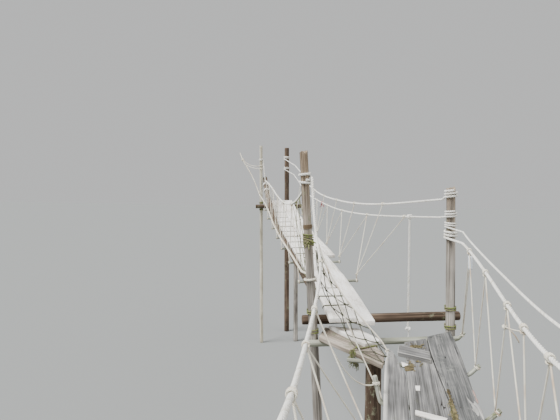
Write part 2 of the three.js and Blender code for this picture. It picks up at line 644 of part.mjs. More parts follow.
// Far span, left handrail, hitched to the side log and to the pale pole
const bLeftLine = [
  [410, -474, 3765], [789, -432, 3714], [1233, -424, 3614], [1700, -422, 3545], [2580, -420, 3512],
  [3430, -420, 3560], [4270, -418, 3652], [5100, -414, 3722], [5880, -402, 3762], [6380, -386, 3775],
].map(([along, offset, z]) => farSpan(along, offset, z));
const bLeftSpan = smooth(bLeftLine, ROPE_STEPS);
const sideLogRing = (number) => {
  const at = sideLogPoints.length - number;
  const axis = vec(sideLogPoints[at]).sub(vec(sideLogPoints[at - 1])).toArray();
  const centre = vec(sideLogPoints[at]).lerp(vec(sideLogPoints[at - 1]), 0.4).toArray();
  return { centre, axis, carried: sideLogRadii[at] };
};
const poleRing = (height) => ({ centre: [...FAR_LEFT.foot, height], axis: [0, 0, 1], carried: 33.8 });
{
  const hitch = sideLogRing(2);
  const second = sideLogRing(3);
  const top = poleRing(4241);
  const arrive = leave(hitch, bLeftSpan.at(-1), HANDRAIL_RADIUS);
  addPiece('b_handrail_left', fuse([
    sweep([
      ...wrapPost(MID_LEFT, HANDRAIL_RADIUS, bLeftLine[0], 3820, 1.3, -1, 27).reverse(),
      ...bLeftSpan,
      arrive,
    ], HANDRAIL_RADIUS, 6),
    ring(hitch.centre, hitch.axis, hitch.carried, HANDRAIL_RADIUS),
    ring(second.centre, second.axis, second.carried, HANDRAIL_RADIUS),
    sweep([leave(second, bLeftSpan.at(-1), HANDRAIL_RADIUS), bLeftSpan.at(-2)], HANDRAIL_RADIUS * 0.8, 6),
    ring(top.centre, top.axis, top.carried, HANDRAIL_RADIUS),
    leg(hitch, top, HANDRAIL_RADIUS * 0.8),
  ]), 'white_rope');
}

// Far span, right handrail and the rope below it
const FAR_RIGHT_RADIUS = 11;
const FAR_LOWER_RADIUS = 9;
const bRightLine = [
  [330, 900, 3660], [1260, 600, 3560], [2150, 500, 3520], [3010, 450, 3520], [3850, 425, 3545],
  [4690, 420, 3610], [5520, 410, 3740], [6230, 400, 3930], [6900, 345, 4120],
].map(([along, offset, z]) => farSpan(along, offset, z));
const bRightSpan = smooth(bRightLine, ROPE_STEPS);
addPiece('b_handrail_right', sweep([
  ...wrapPost(MID_RIGHT, FAR_RIGHT_RADIUS, bRightLine[0], 3690, 1.3, 1, 28).reverse(),
  ...bRightSpan,
  ...wrapPost(FAR_RIGHT, FAR_RIGHT_RADIUS, bRightLine.at(-1), 4290, 1.4, -1, 28),
], FAR_RIGHT_RADIUS, 6), 'white_rope');
const bLowerLine = [
  [360, 880, 3480], [820, 700, 3450], [1700, 545, 3400], [2580, 432, 3390], [3430, 392, 3415],
  [4270, 380, 3455], [5100, 362, 3520], [5880, 355, 3640], [6300, 352, 3740], [6950, 326, 3905],
].map(([along, offset, z]) => farSpan(along, offset, z));
const bLowerSpan = smooth(bLowerLine, ROPE_STEPS);
addPiece('b_lower_rope_right', sweep([
  ...wrapPost(MID_RIGHT, FAR_LOWER_RADIUS, bLowerLine[0], 3500, 1.3, 1, 24).reverse(),
  ...bLowerSpan,
  ...wrapPost(FAR_RIGHT, FAR_LOWER_RADIUS, bLowerLine.at(-1), 4040, 1.4, -1, 24),
], FAR_LOWER_RADIUS, 6), 'white_rope');

// Rope along the left edge of the far span, on past the pale pole to a knot
{
  const edgeLine = [
    [560, -466, 2925], [1588, -446, 2940], [2903, -446, 2990], [3900, -446, 3080], [4874, -448, 3220],
    [5800, -466, 3350], [6500, -510, 3462], [6780, -524, 3540], [7100, -650, 3877], [7450, -849, 4261],
    [7600, -916, 4435],
  ].map(([along, offset, z]) => farSpan(along, offset, z));
  const edge = smooth(edgeLine, 2);
  const knot = edge[18];
  const axis = vec(edge[19]).sub(vec(edge[17])).toArray();
  const tie = { centre: knot, axis, carried: 4 };
  const pole = poleRing(4110);
  const lowPole = poleRing(4036);
  const below = { centre: edge[17], axis, carried: 4 };
  addPiece('b_edge_rope_left', fuse([
    sweep([
      ...wrapPost(MID_LEFT, HANDRAIL_RADIUS, edgeLine[0], 2925, 1.3, -1, -27).reverse(), ...edge,
    ], HANDRAIL_RADIUS, 5),
    ring(pole.centre, pole.axis, pole.carried, 6),
    ring(lowPole.centre, lowPole.axis, lowPole.carried, 6),
    leg(tie, pole, 6, 60),
    leg(below, lowPole, 6, 20),
    sweep([vec(knot).addScaledVector(vec(axis).normalize(), -22).toArray(), knot,
      vec(knot).addScaledVector(vec(axis).normalize(), 22).toArray()], [9, 22, 9], 6),
  ]), 'cream_rope');
}

// Lacing of the far span; on the right, three strands meet above each bearer end
const JOINT_RISE = 75;
{
  const tips = farTips.left.map((path) => tipStation(path));
  const knots = [3, 4, 5, 6, 7, 8].map((n) => ropeStation(bLeftSpan, ROPE_STEPS, n, HANDRAIL_RADIUS));
  const stations = tips.flatMap((tip, i) => (i < knots.length ? [tip, knots[i]] : [tip]));
  addPiece('b_lacing_left', lacing(stations, stations.slice(1).map((_, i) => [i, i + 1]), LACING_RADIUS),
    'cream_rope');
}
{
  const tips = farTips.right.map((path) => tipStation(path));
  const joints = tips.map((tip) => ({
    centre: [tip.centre[0], tip.centre[1], tip.centre[2] + JOINT_RISE], axis: [0, 0, 1], carried: 0,
  }));
  const uppers = tips.map((_, i) => ropeStation(bRightSpan, ROPE_STEPS, i + 1, FAR_RIGHT_RADIUS));
  const lowers = [1, 2, 3, 4, 5, 6, 7].map((n) => ropeStation(bLowerSpan, ROPE_STEPS, n, FAR_LOWER_RADIUS));
  const pieces = [];
  tips.forEach((tip, i) => {
    pieces.push(ring(tip.centre, tip.axis, tip.carried, LACING_RADIUS));
    pieces.push(sweep([leave(tip, joints[i].centre, LACING_RADIUS), joints[i].centre], LACING_RADIUS, 3));
    const strands = [uppers[i], lowers[i], lowers[i + 1]].filter(Boolean);
    strands.forEach((station) => {
      const end = leave(station, joints[i].centre, LACING_RADIUS);
      pieces.push(sweep([joints[i].centre, end], LACING_RADIUS, 3));
    });
    pieces.push(sweep([[0, 0, -14], [0, 0, 0], [0, 0, 14]].map(([, , dz]) => [
      joints[i].centre[0], joints[i].centre[1], joints[i].centre[2] + dz,
    ]), [5, 11, 5], 4));
  });
  [...uppers, ...lowers].forEach((station) => {
    pieces.push(ring(station.centre, station.axis, station.carried, LACING_RADIUS));
  });
  addPiece('b_lacing_right', fuse(pieces), 'cream_rope');
}

// Net of the far span beside the middle left post, from the handrail down to the side log
{
  const distance = (p) => (
    (p[0] - FAR_SPAN_START[0]) * alongFarSpan[0] + (p[1] - FAR_SPAN_START[1]) * alongFarSpan[1]);
  const crossing = (line, along) => {
    const found = line.findIndex((point) => distance(point) >= along);
    const i = Math.max(1, found);
    const share = (along - distance(line[i - 1])) / (distance(line[i]) - distance(line[i - 1]));
    return vec(line[i - 1]).lerp(vec(line[i]), share).toArray();
  };
  const columns = 9;
  const upper = [];
  const lower = [];
  for (let i = 0; i < columns; i += 1) {
    const along = 440 + i * 140;
    const [x, y, z] = crossing(bLeftSpan, along);
    upper.push([x, y, z - HANDRAIL_RADIUS - LOWER_CORD - 0.4]);
    const onLog = crossing(sideLogPoints, Math.max(along, 562));
    lower.push(farSpan(along, -320, onLog[2] + 40));
  }
  addPiece('b_net_left', fuse([
    sweep(upper, LOWER_CORD, 4), sweep(lower, LOWER_CORD, 4), ...net(upper, lower),
  ]), 'mossy_rope');
}

export default group;
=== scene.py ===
# Rope suspension footbridge in two spans: timber, ropes, lacing, nets and small fittings.
# Metres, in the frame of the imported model: +Y along the near span, +Z up.
import json
import math
import random

import bmesh
import bpy
from mathutils import Matrix, Vector, noise

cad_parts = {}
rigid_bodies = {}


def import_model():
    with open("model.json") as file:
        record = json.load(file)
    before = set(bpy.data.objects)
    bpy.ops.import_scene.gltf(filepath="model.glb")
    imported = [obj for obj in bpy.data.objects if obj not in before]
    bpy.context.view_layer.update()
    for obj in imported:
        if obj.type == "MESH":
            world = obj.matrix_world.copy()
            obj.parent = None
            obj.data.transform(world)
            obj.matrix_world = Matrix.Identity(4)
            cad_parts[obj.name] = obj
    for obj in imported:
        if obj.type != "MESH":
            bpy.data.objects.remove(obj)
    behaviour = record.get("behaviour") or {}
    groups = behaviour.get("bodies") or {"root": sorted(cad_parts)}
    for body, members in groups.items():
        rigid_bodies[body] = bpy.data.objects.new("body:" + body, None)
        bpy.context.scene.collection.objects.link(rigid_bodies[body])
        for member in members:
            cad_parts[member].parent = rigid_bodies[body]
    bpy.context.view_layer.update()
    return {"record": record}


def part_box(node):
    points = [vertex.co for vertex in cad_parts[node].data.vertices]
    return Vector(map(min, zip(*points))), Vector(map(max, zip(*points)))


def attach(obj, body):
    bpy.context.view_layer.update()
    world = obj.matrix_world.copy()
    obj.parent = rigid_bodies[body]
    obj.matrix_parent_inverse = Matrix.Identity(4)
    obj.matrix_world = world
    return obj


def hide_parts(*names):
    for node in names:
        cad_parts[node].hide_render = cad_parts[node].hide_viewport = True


bl_info = {
    "name": "Rope suspension footbridge",
    "version": (1, 0, 0),
    "blender": (4, 5, 0),
    "location": "View3D > Sidebar > Footbridge",
    "description": "Dresses the solids of a rope suspension footbridge with timber, rope and knots",
    "category": "Object",
}

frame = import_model()
SLOT_OF = {part["node"]: part["material_slot"] for part in frame["record"]["subparts"]}

# Posts: foot, top, radius at the foot and at the top, as in the solids
NEAR_LEFT = {"foot": (0.0, 0.0), "top": (0.0, 0.0, 3.95), "radius": (0.055, 0.050)}
NEAR_RIGHT = {"foot": (0.78, 0.0), "top": (0.78, 0.0, 3.95), "radius": (0.055, 0.050)}
MID_LEFT = {"foot": (-0.454, 4.75), "top": (-0.694, 4.75, 4.13), "radius": (0.047, 0.0385)}
MID_RIGHT = {"foot": (0.742, 5.17), "top": (0.672, 5.17, 3.79), "radius": (0.050, 0.042)}

# Near deck and its bearers; an end, which turns up past the planks, is given across the deck and in rise
DECK_TOP = 2.4
PLANK_BOTTOM = 2.35
BEARER_RADIUS = 0.017
BEARER_Z = PLANK_BOTTOM - 0.016
BEARER_ROWS = (0.670, 1.395, 2.120, 2.845, 3.572, 4.301)
LEFT_END = ((0.017, 0.189), (0.036, 0.108), (0.050, 0.046), (0.060, 0.012), (0.074, 0.0), (0.094, 0.0))
RIGHT_END = (
    (0.110, 0.0), (0.640, 0.0), (0.712, 0.0), (0.726, 0.006), (0.750, 0.032), (0.775, 0.062), (0.799, 0.092),
)
# The last bearer's left end stays level
HIDDEN_LEFT_END = ((-0.230, 0.0),)
# How much nearer the right ends lie than the left ones
BEARER_SKEW = 0.120

# Thin log across the middle posts: height, radius, and its far end as distance past the post and rise
NEAR_LOG_Z = PLANK_BOTTOM - 0.0312
NEAR_LOG_RADIUS = 0.032
NEAR_LOG_END = ((0.064, 0.014), (0.110, 0.062))

# Far deck: where it starts and heads, its bearers along it, and the height of its top along it
FAR_START = Vector((-0.138, 4.668, 0.0))
FAR_HEADING = math.radians(19)
FAR_BEARER_ALONG = (1.26, 2.15, 3.01, 3.85, 4.69, 5.52, 6.23)
FAR_DECK = (
    (-0.43, 2.461), (0.0, 2.5346), (0.62, 2.640), (1.3, 2.722), (2.15, 2.780), (3.2, 2.852),
    (4.25, 2.925), (5.3, 3.035), (6.4, 3.228), (6.86, 3.322),
)

# Radii of the thinner ropes and cords
FAR_RIGHT_ROPE = 0.011
FAR_LOWER_ROPE = 0.009
NET_BORDER = 0.007
NET_EDGE = 0.004
LASHING = 0.007

# Rows of meshes in a net, and how far its knots stray
NET_ROWS = 4
NET_SLACK = 0.006
# Rounding of small boards and chips
STRIP_ARRIS = 0.002

# Gap below a rope, points in one turn of its lay, and points between two chosen ones
SEAT = 0.0003
STRAND_TURNS = 10
ROPE_STEPS = 12
# As shares of a rope's radius: where its strands lie, how thick they are, and the length of a turn
STRAND_REACH = 0.52
STRAND_RADIUS = 0.49
LAY_LENGTH = 6.6
# As shares of a cord's radius: how tight its turns sit, and how far apart they are
COIL_REACH = 0.92
COIL_PITCH = 2.05
# Legs of a loose end
TAIL_STEPS = 6


def up(height):
    """Vector straight up, or down from a negative height."""
    return Vector((0, 0, height))


def axes_of(heading):
    """Level directions along a heading, turned from +Y, and to its right."""
    return (
        Vector((-math.sin(heading), math.cos(heading), 0.0)),
        Vector((math.cos(heading), math.sin(heading), 0.0)),
    )


ALONG_FAR, ACROSS_FAR = axes_of(FAR_HEADING)


def far_span(along, offset, z):
    """Point of the far span: distance along it, offset to its right, height."""
    point = FAR_START + ALONG_FAR * along + ACROSS_FAR * offset
    point.z = z
    return point


def far_deck(along):
    """Height of the far boards' top."""
    for (a, low), (b, high) in zip(FAR_DECK, FAR_DECK[1:]):
        if along <= b:
            return low + (high - low) * (along - a) / (b - a)
    return FAR_DECK[-1][1]


def post_at(post, z):
    """Centre and radius of a leaning post at a height."""
    share = z / post["top"][2]
    x = post["foot"][0] + (post["top"][0] - post["foot"][0]) * share
    y = post["foot"][1] + (post["top"][1] - post["foot"][1]) * share
    low, high = post["radius"]
    return Vector((x, y, z)), low + (high - low) * share


def smooth(points, steps=ROPE_STEPS):
    """Centripetal curve through the points, keeping each of them."""
    points = [Vector(p) for p in points]
    ends = [points[0] * 2 - points[1]] + points + [points[-1] * 2 - points[-2]]
    line = []
    for i in range(1, len(ends) - 2):
        a, b, c, d = ends[i - 1:i + 3]
        before = max((b - a).length ** 0.5, 1e-4)
        here = max((c - b).length ** 0.5, 1e-4)
        after = max((d - c).length ** 0.5, 1e-4)
        start = ((b - a) / before - (c - a) / (before + here) + (c - b) / here) * here
        end = ((c - b) / here - (d - b) / (here + after) + (d - c) / after) * here
        for step in range(steps):
            t = step / steps
            line.append(
                b + start * t + (c * 3 - b * 3 - start * 2 - end) * t ** 2
                + (b * 2 - c * 2 + start + end) * t ** 3)
    line.append(points[-1])
    return line


def lengths_along(points):
    """Distance from the first point to each point."""
    lengths = [0.0]
    for a, b in zip(points, points[1:]):
        lengths.append(lengths[-1] + (Vector(b) - Vector(a)).length)
    return lengths


def resample(line, step):
    """Points spread evenly along a line, about a step apart."""
    lengths = [(b - a).length for a, b in zip(line, line[1:])]
    total = sum(lengths)
    count = max(2, round(total / step))
    result = []
    i = 0
    passed = 0.0
    for n in range(count + 1):
        target = total * n / count
        while i < len(lengths) - 1 and passed + lengths[i] < target:
            passed += lengths[i]
            i += 1
        share = min(1.0, (target - passed) / max(lengths[i], 1e-9))
        result.append(line[i].lerp(line[i + 1], share))
    return result


def wrap_post(post, rope, toward, z, turns, side, rise, steps=24):
    """Turns of rope round a post, starting where a rope from a point meets it."""
    centre, radius = post_at(post, z)
    distance = math.hypot(toward[0] - centre.x, toward[1] - centre.y)
    reach = radius + rope + SEAT
    start = math.atan2(toward[1] - centre.y, toward[0] - centre.x)
    start += side * math.acos(min(1.0, reach / distance))
    points = []
    for i in range(round(turns * steps) + 1):
        height = z + rise * i / steps
        here, radius = post_at(post, height)
        reach = radius + rope + SEAT
        angle = start + side * i * math.tau / steps
        points.append(Vector((here.x + math.cos(angle) * reach, here.y + math.sin(angle) * reach, height)))
    return points


def frames_along(path, closed=False):
    """Centre and two cross directions at each point, turned as little as possible."""
    count = len(path)
    normal = None
    result = []
    for i, point in enumerate(path):
        before = path[i - 1] if i or closed else path[0]
        after = path[(i + 1) % count] if i < count - 1 or closed else path[-1]
        tangent = (after - before).normalized()
        if normal is None:
            normal = Vector((1, 0, 0)) if abs(tangent.z) > 0.8 else up(1)
        normal = (normal - tangent * normal.dot(tangent)).normalized()
        result.append((point, normal.copy(), tangent.cross(normal)))
    return result


def add_object(name, data):
    """New object in the scene."""
    added = bpy.data.objects.new(name, data)
    bpy.context.scene.collection.objects.link(added)
    return added


class Piece:
    """A bmesh with the layers that the timber and rope materials read."""

    def __init__(self, seed=0):
        self.bm = bmesh.new()
        self.turn = self.bm.verts.layers.float.new("turn")
        self.grain = self.bm.verts.layers.float_vector.new("grain")
        self.wear = self.bm.verts.layers.float.new("wear")
        self.lay = self.bm.loops.layers.uv.new("lay")
        self.random = random.Random(seed)

    def find_layers(self):
        """Take the layers again after a mesh has been read in."""
        self.turn, self.wear = (self.bm.verts.layers.float[name] for name in ("turn", "wear"))
        self.grain = self.bm.verts.layers.float_vector["grain"]
        self.lay = self.bm.loops.layers.uv["lay"]

    def sweep(self, path, radius, sides, closed=False, shape=None, start=0.0):
        """Tube bent from a grid along a path; shape(turn, i, along) scales its radius."""
        bm = self.bm
        radii = [radius] * len(path) if isinstance(radius, float) else radius
        grid = bmesh.ops.create_grid(bm, x_segments=sides, y_segments=len(path) - 1, size=1.0)["verts"]
        grid.sort(key=lambda vert: (vert.co.y, vert.co.x))
        rows = [grid[i:i + sides + 1] for i in range(0, len(grid), sides + 1)]
        shift = Vector((self.random.uniform(0, 50), start, self.random.uniform(0, 50)))
        along = 0.0
        before = path[0]
        for i, (centre, normal, across) in enumerate(frames_along(path, closed)):
            along += (centre - before).length
            before = centre
            for k, vert in enumerate(rows[i]):
                turn = k / sides
                angle = turn * math.tau
                reach = radii[i] * (shape(turn, i, along) if shape else 1.0)
                vert.co = centre + (normal * math.cos(angle) + across * math.sin(angle)) * reach
                vert[self.turn] = turn
                vert[self.grain] = Vector((
                    math.cos(angle) * radii[i], along, math.sin(angle) * radii[i])) + shift
        bmesh.ops.weld_verts(bm, targetmap={row[-1]: row[0] for row in rows})
        ends = []
        for row in (rows[0], rows[-1]):
            ring = set(row[:-1])
            ends.append(list({
                edge for vert in ring for edge in vert.link_edges if edge.other_vert(vert) in ring}))
        if closed:
            bmesh.ops.bridge_loops(bm, edges=ends[0] + ends[1])
        else:
            for edges in ends:
                bmesh.ops.contextual_create(bm, geom=edges)

    def laid_rope(self, line, radius):
        """Rope of three strands twisted round each other."""
        dense = resample(line, radius * LAY_LENGTH / STRAND_TURNS)
        rings = frames_along(dense)
        for strand in range(3):
            path = []
            for i, (centre, normal, across) in enumerate(rings):
                angle = math.tau * (i / STRAND_TURNS + strand / 3)
                away = normal * math.cos(angle) + across * math.sin(angle)
                path.append(centre + away * radius * STRAND_REACH)
            self.sweep(path, radius * STRAND_RADIUS, 6)

    def cord(self, line, radius, sides=6, step=0.03):
        """Thin cord; its lay is drawn by the material."""
        self.sweep(resample(line, step), radius, sides)

    def coil(self, centre, axis, carried, rope, turns, sides=6, steps=12, phase=0.0):
        """Turns of cord side by side round a pole or rope."""
        axis = Vector(axis).normalized()
        side = Vector((1, 0, 0)) if abs(axis.z) > 0.8 else up(1)
        side = (side - axis * side.dot(axis)).normalized()
        other = axis.cross(side)
        reach = carried + rope * COIL_REACH
        path = []
        for i in range(round(turns * steps) + 1):
            angle = phase + math.tau * i / steps
            climb = (i / steps - turns / 2) * rope * COIL_PITCH
            away = side * math.cos(angle) + other * math.sin(angle)
            path.append(Vector(centre) + axis * climb + away * reach)
        self.sweep(path, rope, sides)

    def knot(self, centre, axis, size, rope, sides=5, steps=30):
        """Overhand knot drawn tight: a trefoil of cord."""
        axis = Vector(axis).normalized()
        turn = axis.to_track_quat("Z", "X").to_matrix()
        path = []
        for i in range(steps):
            t = math.tau * i / steps
            flat = Vector((
                math.sin(t) + 2 * math.sin(2 * t), math.cos(t) - 2 * math.cos(2 * t),
                -math.sin(3 * t) * 1.5))
            path.append(Vector(centre) + turn @ (flat * size / 3))
        self.sweep(path, rope, sides, closed=True)

    def mound(self, centre, size):
        """Low uneven lump on a board, from its half length along each axis."""
        for vert in bmesh.ops.create_icosphere(self.bm, subdivisions=3, radius=1.0)["verts"]:
            swell = 1.0 + 0.35 * noise.noise(vert.co * 1.7 + centre * 9)
            spot = Vector((vert.co.x * size[0], vert.co.y * size[1], vert.co.z * size[2]))
            vert.co = centre + spot * swell
            vert[self.grain] = vert.co.copy()

    def tail(self, start, direction, length, rope, curl=0.3):
        """Loose end of a cord that bends down under its weight."""
        direction = Vector(direction).normalized()
        line = []
        for i in range(TAIL_STEPS + 1):
            t = i / TAIL_STEPS
            sway = Vector((math.sin(t * 3) * curl * 0.25, math.cos(t * 4) * curl * 0.1, -curl * t * t))
            line.append(Vector(start) + (direction * t + sway) * length)
        self.cord(line, rope, step=length / TAIL_STEPS)

    def make(self, name, finish, *nodes, slot=None, sharp=None):
        """Write the layers, turn the bmesh into an object and place it on the root body."""
        bm = self.bm
        bmesh.ops.recalc_face_normals(bm, faces=bm.faces[:])
        for face in bm.faces:
            turns = [loop.vert[self.turn] for loop in face.loops]
            wrapped = max(turns) - min(turns) > 0.5
            for loop, turn in zip(face.loops, turns):
                if wrapped and turn < 0.5:
                    turn += 1.0
                loop[self.lay].uv = (turn, loop.vert[self.grain].y)
            face.smooth = True
        mesh = bpy.data.meshes.new(name)
        bm.to_mesh(mesh)
        bm.free()
        mesh.materials.append(material_for(finish))
        if sharp:
            mesh.set_sharp_from_angle(angle=math.radians(sharp))
        piece = add_object(name, mesh)
        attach(piece, "root")
        if nodes:
            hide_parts(*nodes)


def linear(hex_colour):
    """sRGB hex value as a linear colour."""
    channels = []
    for i in (1, 3, 5):
        value = int(hex_colour[i:i + 2], 16) / 255
        channels.append(value / 12.92 if value <= 0.04045 else ((value + 0.055) / 1.055) ** 2.4)
    return (*channels, 1.0)


MATH = "ShaderNodeMath"
NOISE = "ShaderNodeTexNoise"
RAMP = "ShaderNodeValToRGB"
MIX = "ShaderNodeMix"
# Settings of a mix of two colours, whose inputs are 0, 6 and 7, and whose output is 2
BLENDED = {"data_type": "RGBA"}
MULTIPLIED = {"data_type": "RGBA", "blend_type": "MULTIPLY"}


def add_node(tree, kind, links=None, output=0, stops=(), **settings):
    """Add a node and give one of its outputs.

    links maps an input to a socket, a value or a hex colour. stops are those of a colour ramp, each a
    place with a hex colour or a grey.
    """
    node = tree.nodes.new(kind)
    for key, value in settings.items():
        setattr(node, key, value)
    for key, value in (links or {}).items():
        if isinstance(value, bpy.types.NodeSocket):
            tree.links.new(value, node.inputs[key])
        else:
            node.inputs[key].default_value = linear(value) if isinstance(value, str) else value
    if stops:
        elements = node.color_ramp.elements
        while len(elements) < len(stops):
            elements.new(0.5)
        for element, (place, colour) in zip(elements, stops):
            element.position = place
            element.color = linear(colour) if isinstance(colour, str) else (colour, colour, colour, 1.0)
    return node.outputs[output]


def new_material(name):
    """Empty material with its shader and tree."""
    material = bpy.data.materials.new(name)
    material.use_nodes = True
    tree = material.node_tree
    return material, tree, tree.nodes["Principled BSDF"]


def stretched(tree, across, length, detail=4.0, rough=0.55, distort=0.0):
    """Noise drawn out along the grain, from the real width and length of its streaks in metres."""
    grain = add_node(tree, "ShaderNodeAttribute", output="Vector", attribute_name="grain")
    scale = (1 / across, 1 / length, 1 / across)
    scaled = add_node(tree, "ShaderNodeMapping", {"Vector": grain, "Scale": scale})
    return add_node(tree, NOISE, {
        "Vector": scaled, "Scale": 1.0, "Detail": detail, "Roughness": rough, "Distortion": distort}, "Fac")


def patches_of(tree, across, length, low, high, **pattern):
    """Soft-edged patches drawn out along the grain, where the noise lies above the low and high cut."""
    streaks = stretched(tree, across, length, **pattern)
    return add_node(tree, RAMP, {"Fac": streaks}, stops=((low, 0.0), (high, 1.0)))


def layered(tree, colour, *layers):
    """Colours laid over a base, each where its mask is white."""
    for mask, laid in layers:
        colour = add_node(tree, MIX, {0: mask, 6: colour, 7: laid}, 2, **BLENDED)
    return colour


def weighted(tree, *shares):
    """Sum of patterns, each with its weight."""
    total = None
    for pattern, weight in shares:
        part = add_node(tree, MATH, {0: pattern, 1: weight}, operation="MULTIPLY")
        total = add_node(tree, MATH, {0: total, 1: part}, operation="ADD") if total else part
    return total


def finish_shader(tree, shader, colour, height, relief, bump, **inputs):
    """Connect the colour and the relief, and set the shader's plain inputs."""
    tree.links.new(colour, shader.inputs["Base Color"])
    raised = add_node(tree, "ShaderNodeBump", {"Height": height, "Distance": relief, "Strength": bump})
    tree.links.new(raised, shader.inputs["Normal"])
    for key, value in inputs.items():
        shader.inputs[key.replace("_", " ")].default_value = value


def timber(
        name, tones, crack, growth, fibre=0.005, band=0.028, bump=0.6, growth_cut=(0.56, 0.68), rough=0.86,
        crack_width=0.010, worn_and_highlit=None, aged=None):
    """Weathered wood: fibres, bands, long checks, patches of growth, a pale colour where the wear layer is
    set (arrises pale with wear, and painted highlight), and a browner far end.
    """
    material, tree, shader = new_material(name)
    fibres = stretched(tree, fibre, fibre * 85, detail=5.0)
    bands = stretched(tree, band, band * 34, detail=3.0, distort=0.4)
    patches = stretched(tree, 0.22, 0.45, detail=2.0)
    blend = weighted(tree, (fibres, 0.40), (bands, 0.32), (patches, 0.28))
    dark, middle, light = tones
    colour = add_node(tree, RAMP, {"Fac": blend}, stops=((0.40, dark), (0.50, middle), (0.60, light)))
    if aged:
        start, end, tint = aged
        grain = add_node(tree, "ShaderNodeAttribute", output="Vector", attribute_name="grain")
        length = add_node(tree, "ShaderNodeSeparateXYZ", {"Vector": grain}, "Y")
        wavy = add_node(tree, MATH, {0: length, 1: bands}, operation="ADD")
        rise = add_node(tree, "ShaderNodeMapRange", {"Value": wavy, "From Min": start, "From Max": end})
        browner = add_node(tree, MIX, {0: 1.0, 6: colour, 7: tint}, 2, **MULTIPLIED)
        colour = layered(tree, colour, (rise, browner))
    split = stretched(tree, 0.034, 1.3, detail=1.0, distort=0.08)
    aside = add_node(tree, MATH, {0: split, 1: 0.5}, operation="SUBTRACT")
    gap = add_node(tree, MATH, {0: aside}, operation="ABSOLUTE")
    check = add_node(
        tree, RAMP, {"Fac": gap}, stops=((0.0, 1.0), (crack_width * 0.4, 1.0), (crack_width, 0.0)))
    where = patches_of(tree, 0.10, 0.8, 0.52, 0.60, detail=1.0)
    check = add_node(tree, MIX, {0: 1.0, 6: check, 7: where}, 2, **MULTIPLIED)
    cover = patches_of(tree, 0.045, 0.07, *growth_cut, detail=6.0, rough=0.7)
    spread_out = patches_of(tree, 0.30, 0.5, 0.45, 0.62, detail=1.0)
    cover = add_node(tree, MIX, {0: 1.0, 6: cover, 7: spread_out}, 2, **MULTIPLIED)
    colour = layered(tree, colour, (check, crack), (cover, growth))
    # The wear layer marks arrises gone pale with wear, and places given a painted highlight; one pale colour
    # serves both.
    if worn_and_highlit:
        wear = add_node(tree, "ShaderNodeAttribute", output="Fac", attribute_name="wear")
        strength = add_node(tree, MATH, {0: blend, 1: 0.25}, operation="ADD")
        rubbed_and_highlit = add_node(tree, MATH, {0: wear, 1: strength}, operation="MULTIPLY")
        colour = layered(tree, colour, (rubbed_and_highlit, worn_and_highlit))
    raised = add_node(tree, MATH, {0: fibres, 1: 0.5}, operation="MULTIPLY")
    height = add_node(tree, MATH, {0: raised, 1: check}, operation="SUBTRACT")
    finish_shader(tree, shader, colour, height, 0.004, bump, Roughness=rough, Specular_IOR_Level=0.25)
    return material


def cordage(name, light, shade, dirt, yarns, pitch, growth=None, bump=0.5):
    """Laid rope or cord: slanted yarns in its own lay, with painted shade in the grooves and dirt along its
    length.
    """
    material, tree, shader = new_material(name)
    lay = add_node(tree, "ShaderNodeUVMap", uv_map="lay")
    turned = add_node(tree, "ShaderNodeSeparateXYZ", {"Vector": lay}, "X")
    passed = turned.node.outputs["Y"]
    turns = weighted(tree, (turned, float(yarns)), (passed, yarns / pitch))
    angle = add_node(tree, MATH, {0: turns, 1: math.tau}, operation="MULTIPLY")
    wave = add_node(tree, MATH, {0: angle}, operation="SINE")
    lifted = add_node(tree, MATH, {0: wave, 1: 1.0}, operation="ADD")
    yarn = add_node(tree, MATH, {0: lifted, 1: 0.5}, operation="MULTIPLY")
    # The grooves between the yarns get the shade colour: painted shade.
    colour = add_node(tree, RAMP, {"Fac": yarn}, stops=((0.0, shade), (0.45, light), (1.0, light)))
    colour = layered(tree, colour, (patches_of(tree, 0.05, 0.16, 0.50, 0.72, detail=3.0), dirt))
    if growth:
        colour = layered(tree, colour, (patches_of(tree, 0.02, 0.03, 0.48, 0.58), growth))
    finish_shader(
        tree, shader, colour, yarn, 0.0016, bump, Roughness=0.7, Specular_IOR_Level=0.3, Sheen_Weight=0.15)
    return material


def spotted(name, scale, stops, rough, detail=2.0, metallic=0.0):
    """Smooth surface with dull spots or scuffs; the scale is in spots per metre."""
    material, tree, shader = new_material(name)
    place = add_node(tree, "ShaderNodeTexCoord", output="Object")
    spots = add_node(tree, NOISE, {"Vector": place, "Scale": scale, "Detail": detail}, "Fac")
    tree.links.new(add_node(tree, RAMP, {"Fac": spots}, stops=stops), shader.inputs["Base Color"])
    shader.inputs["Metallic"].default_value = metallic
    shader.inputs["Roughness"].default_value = rough
    return material


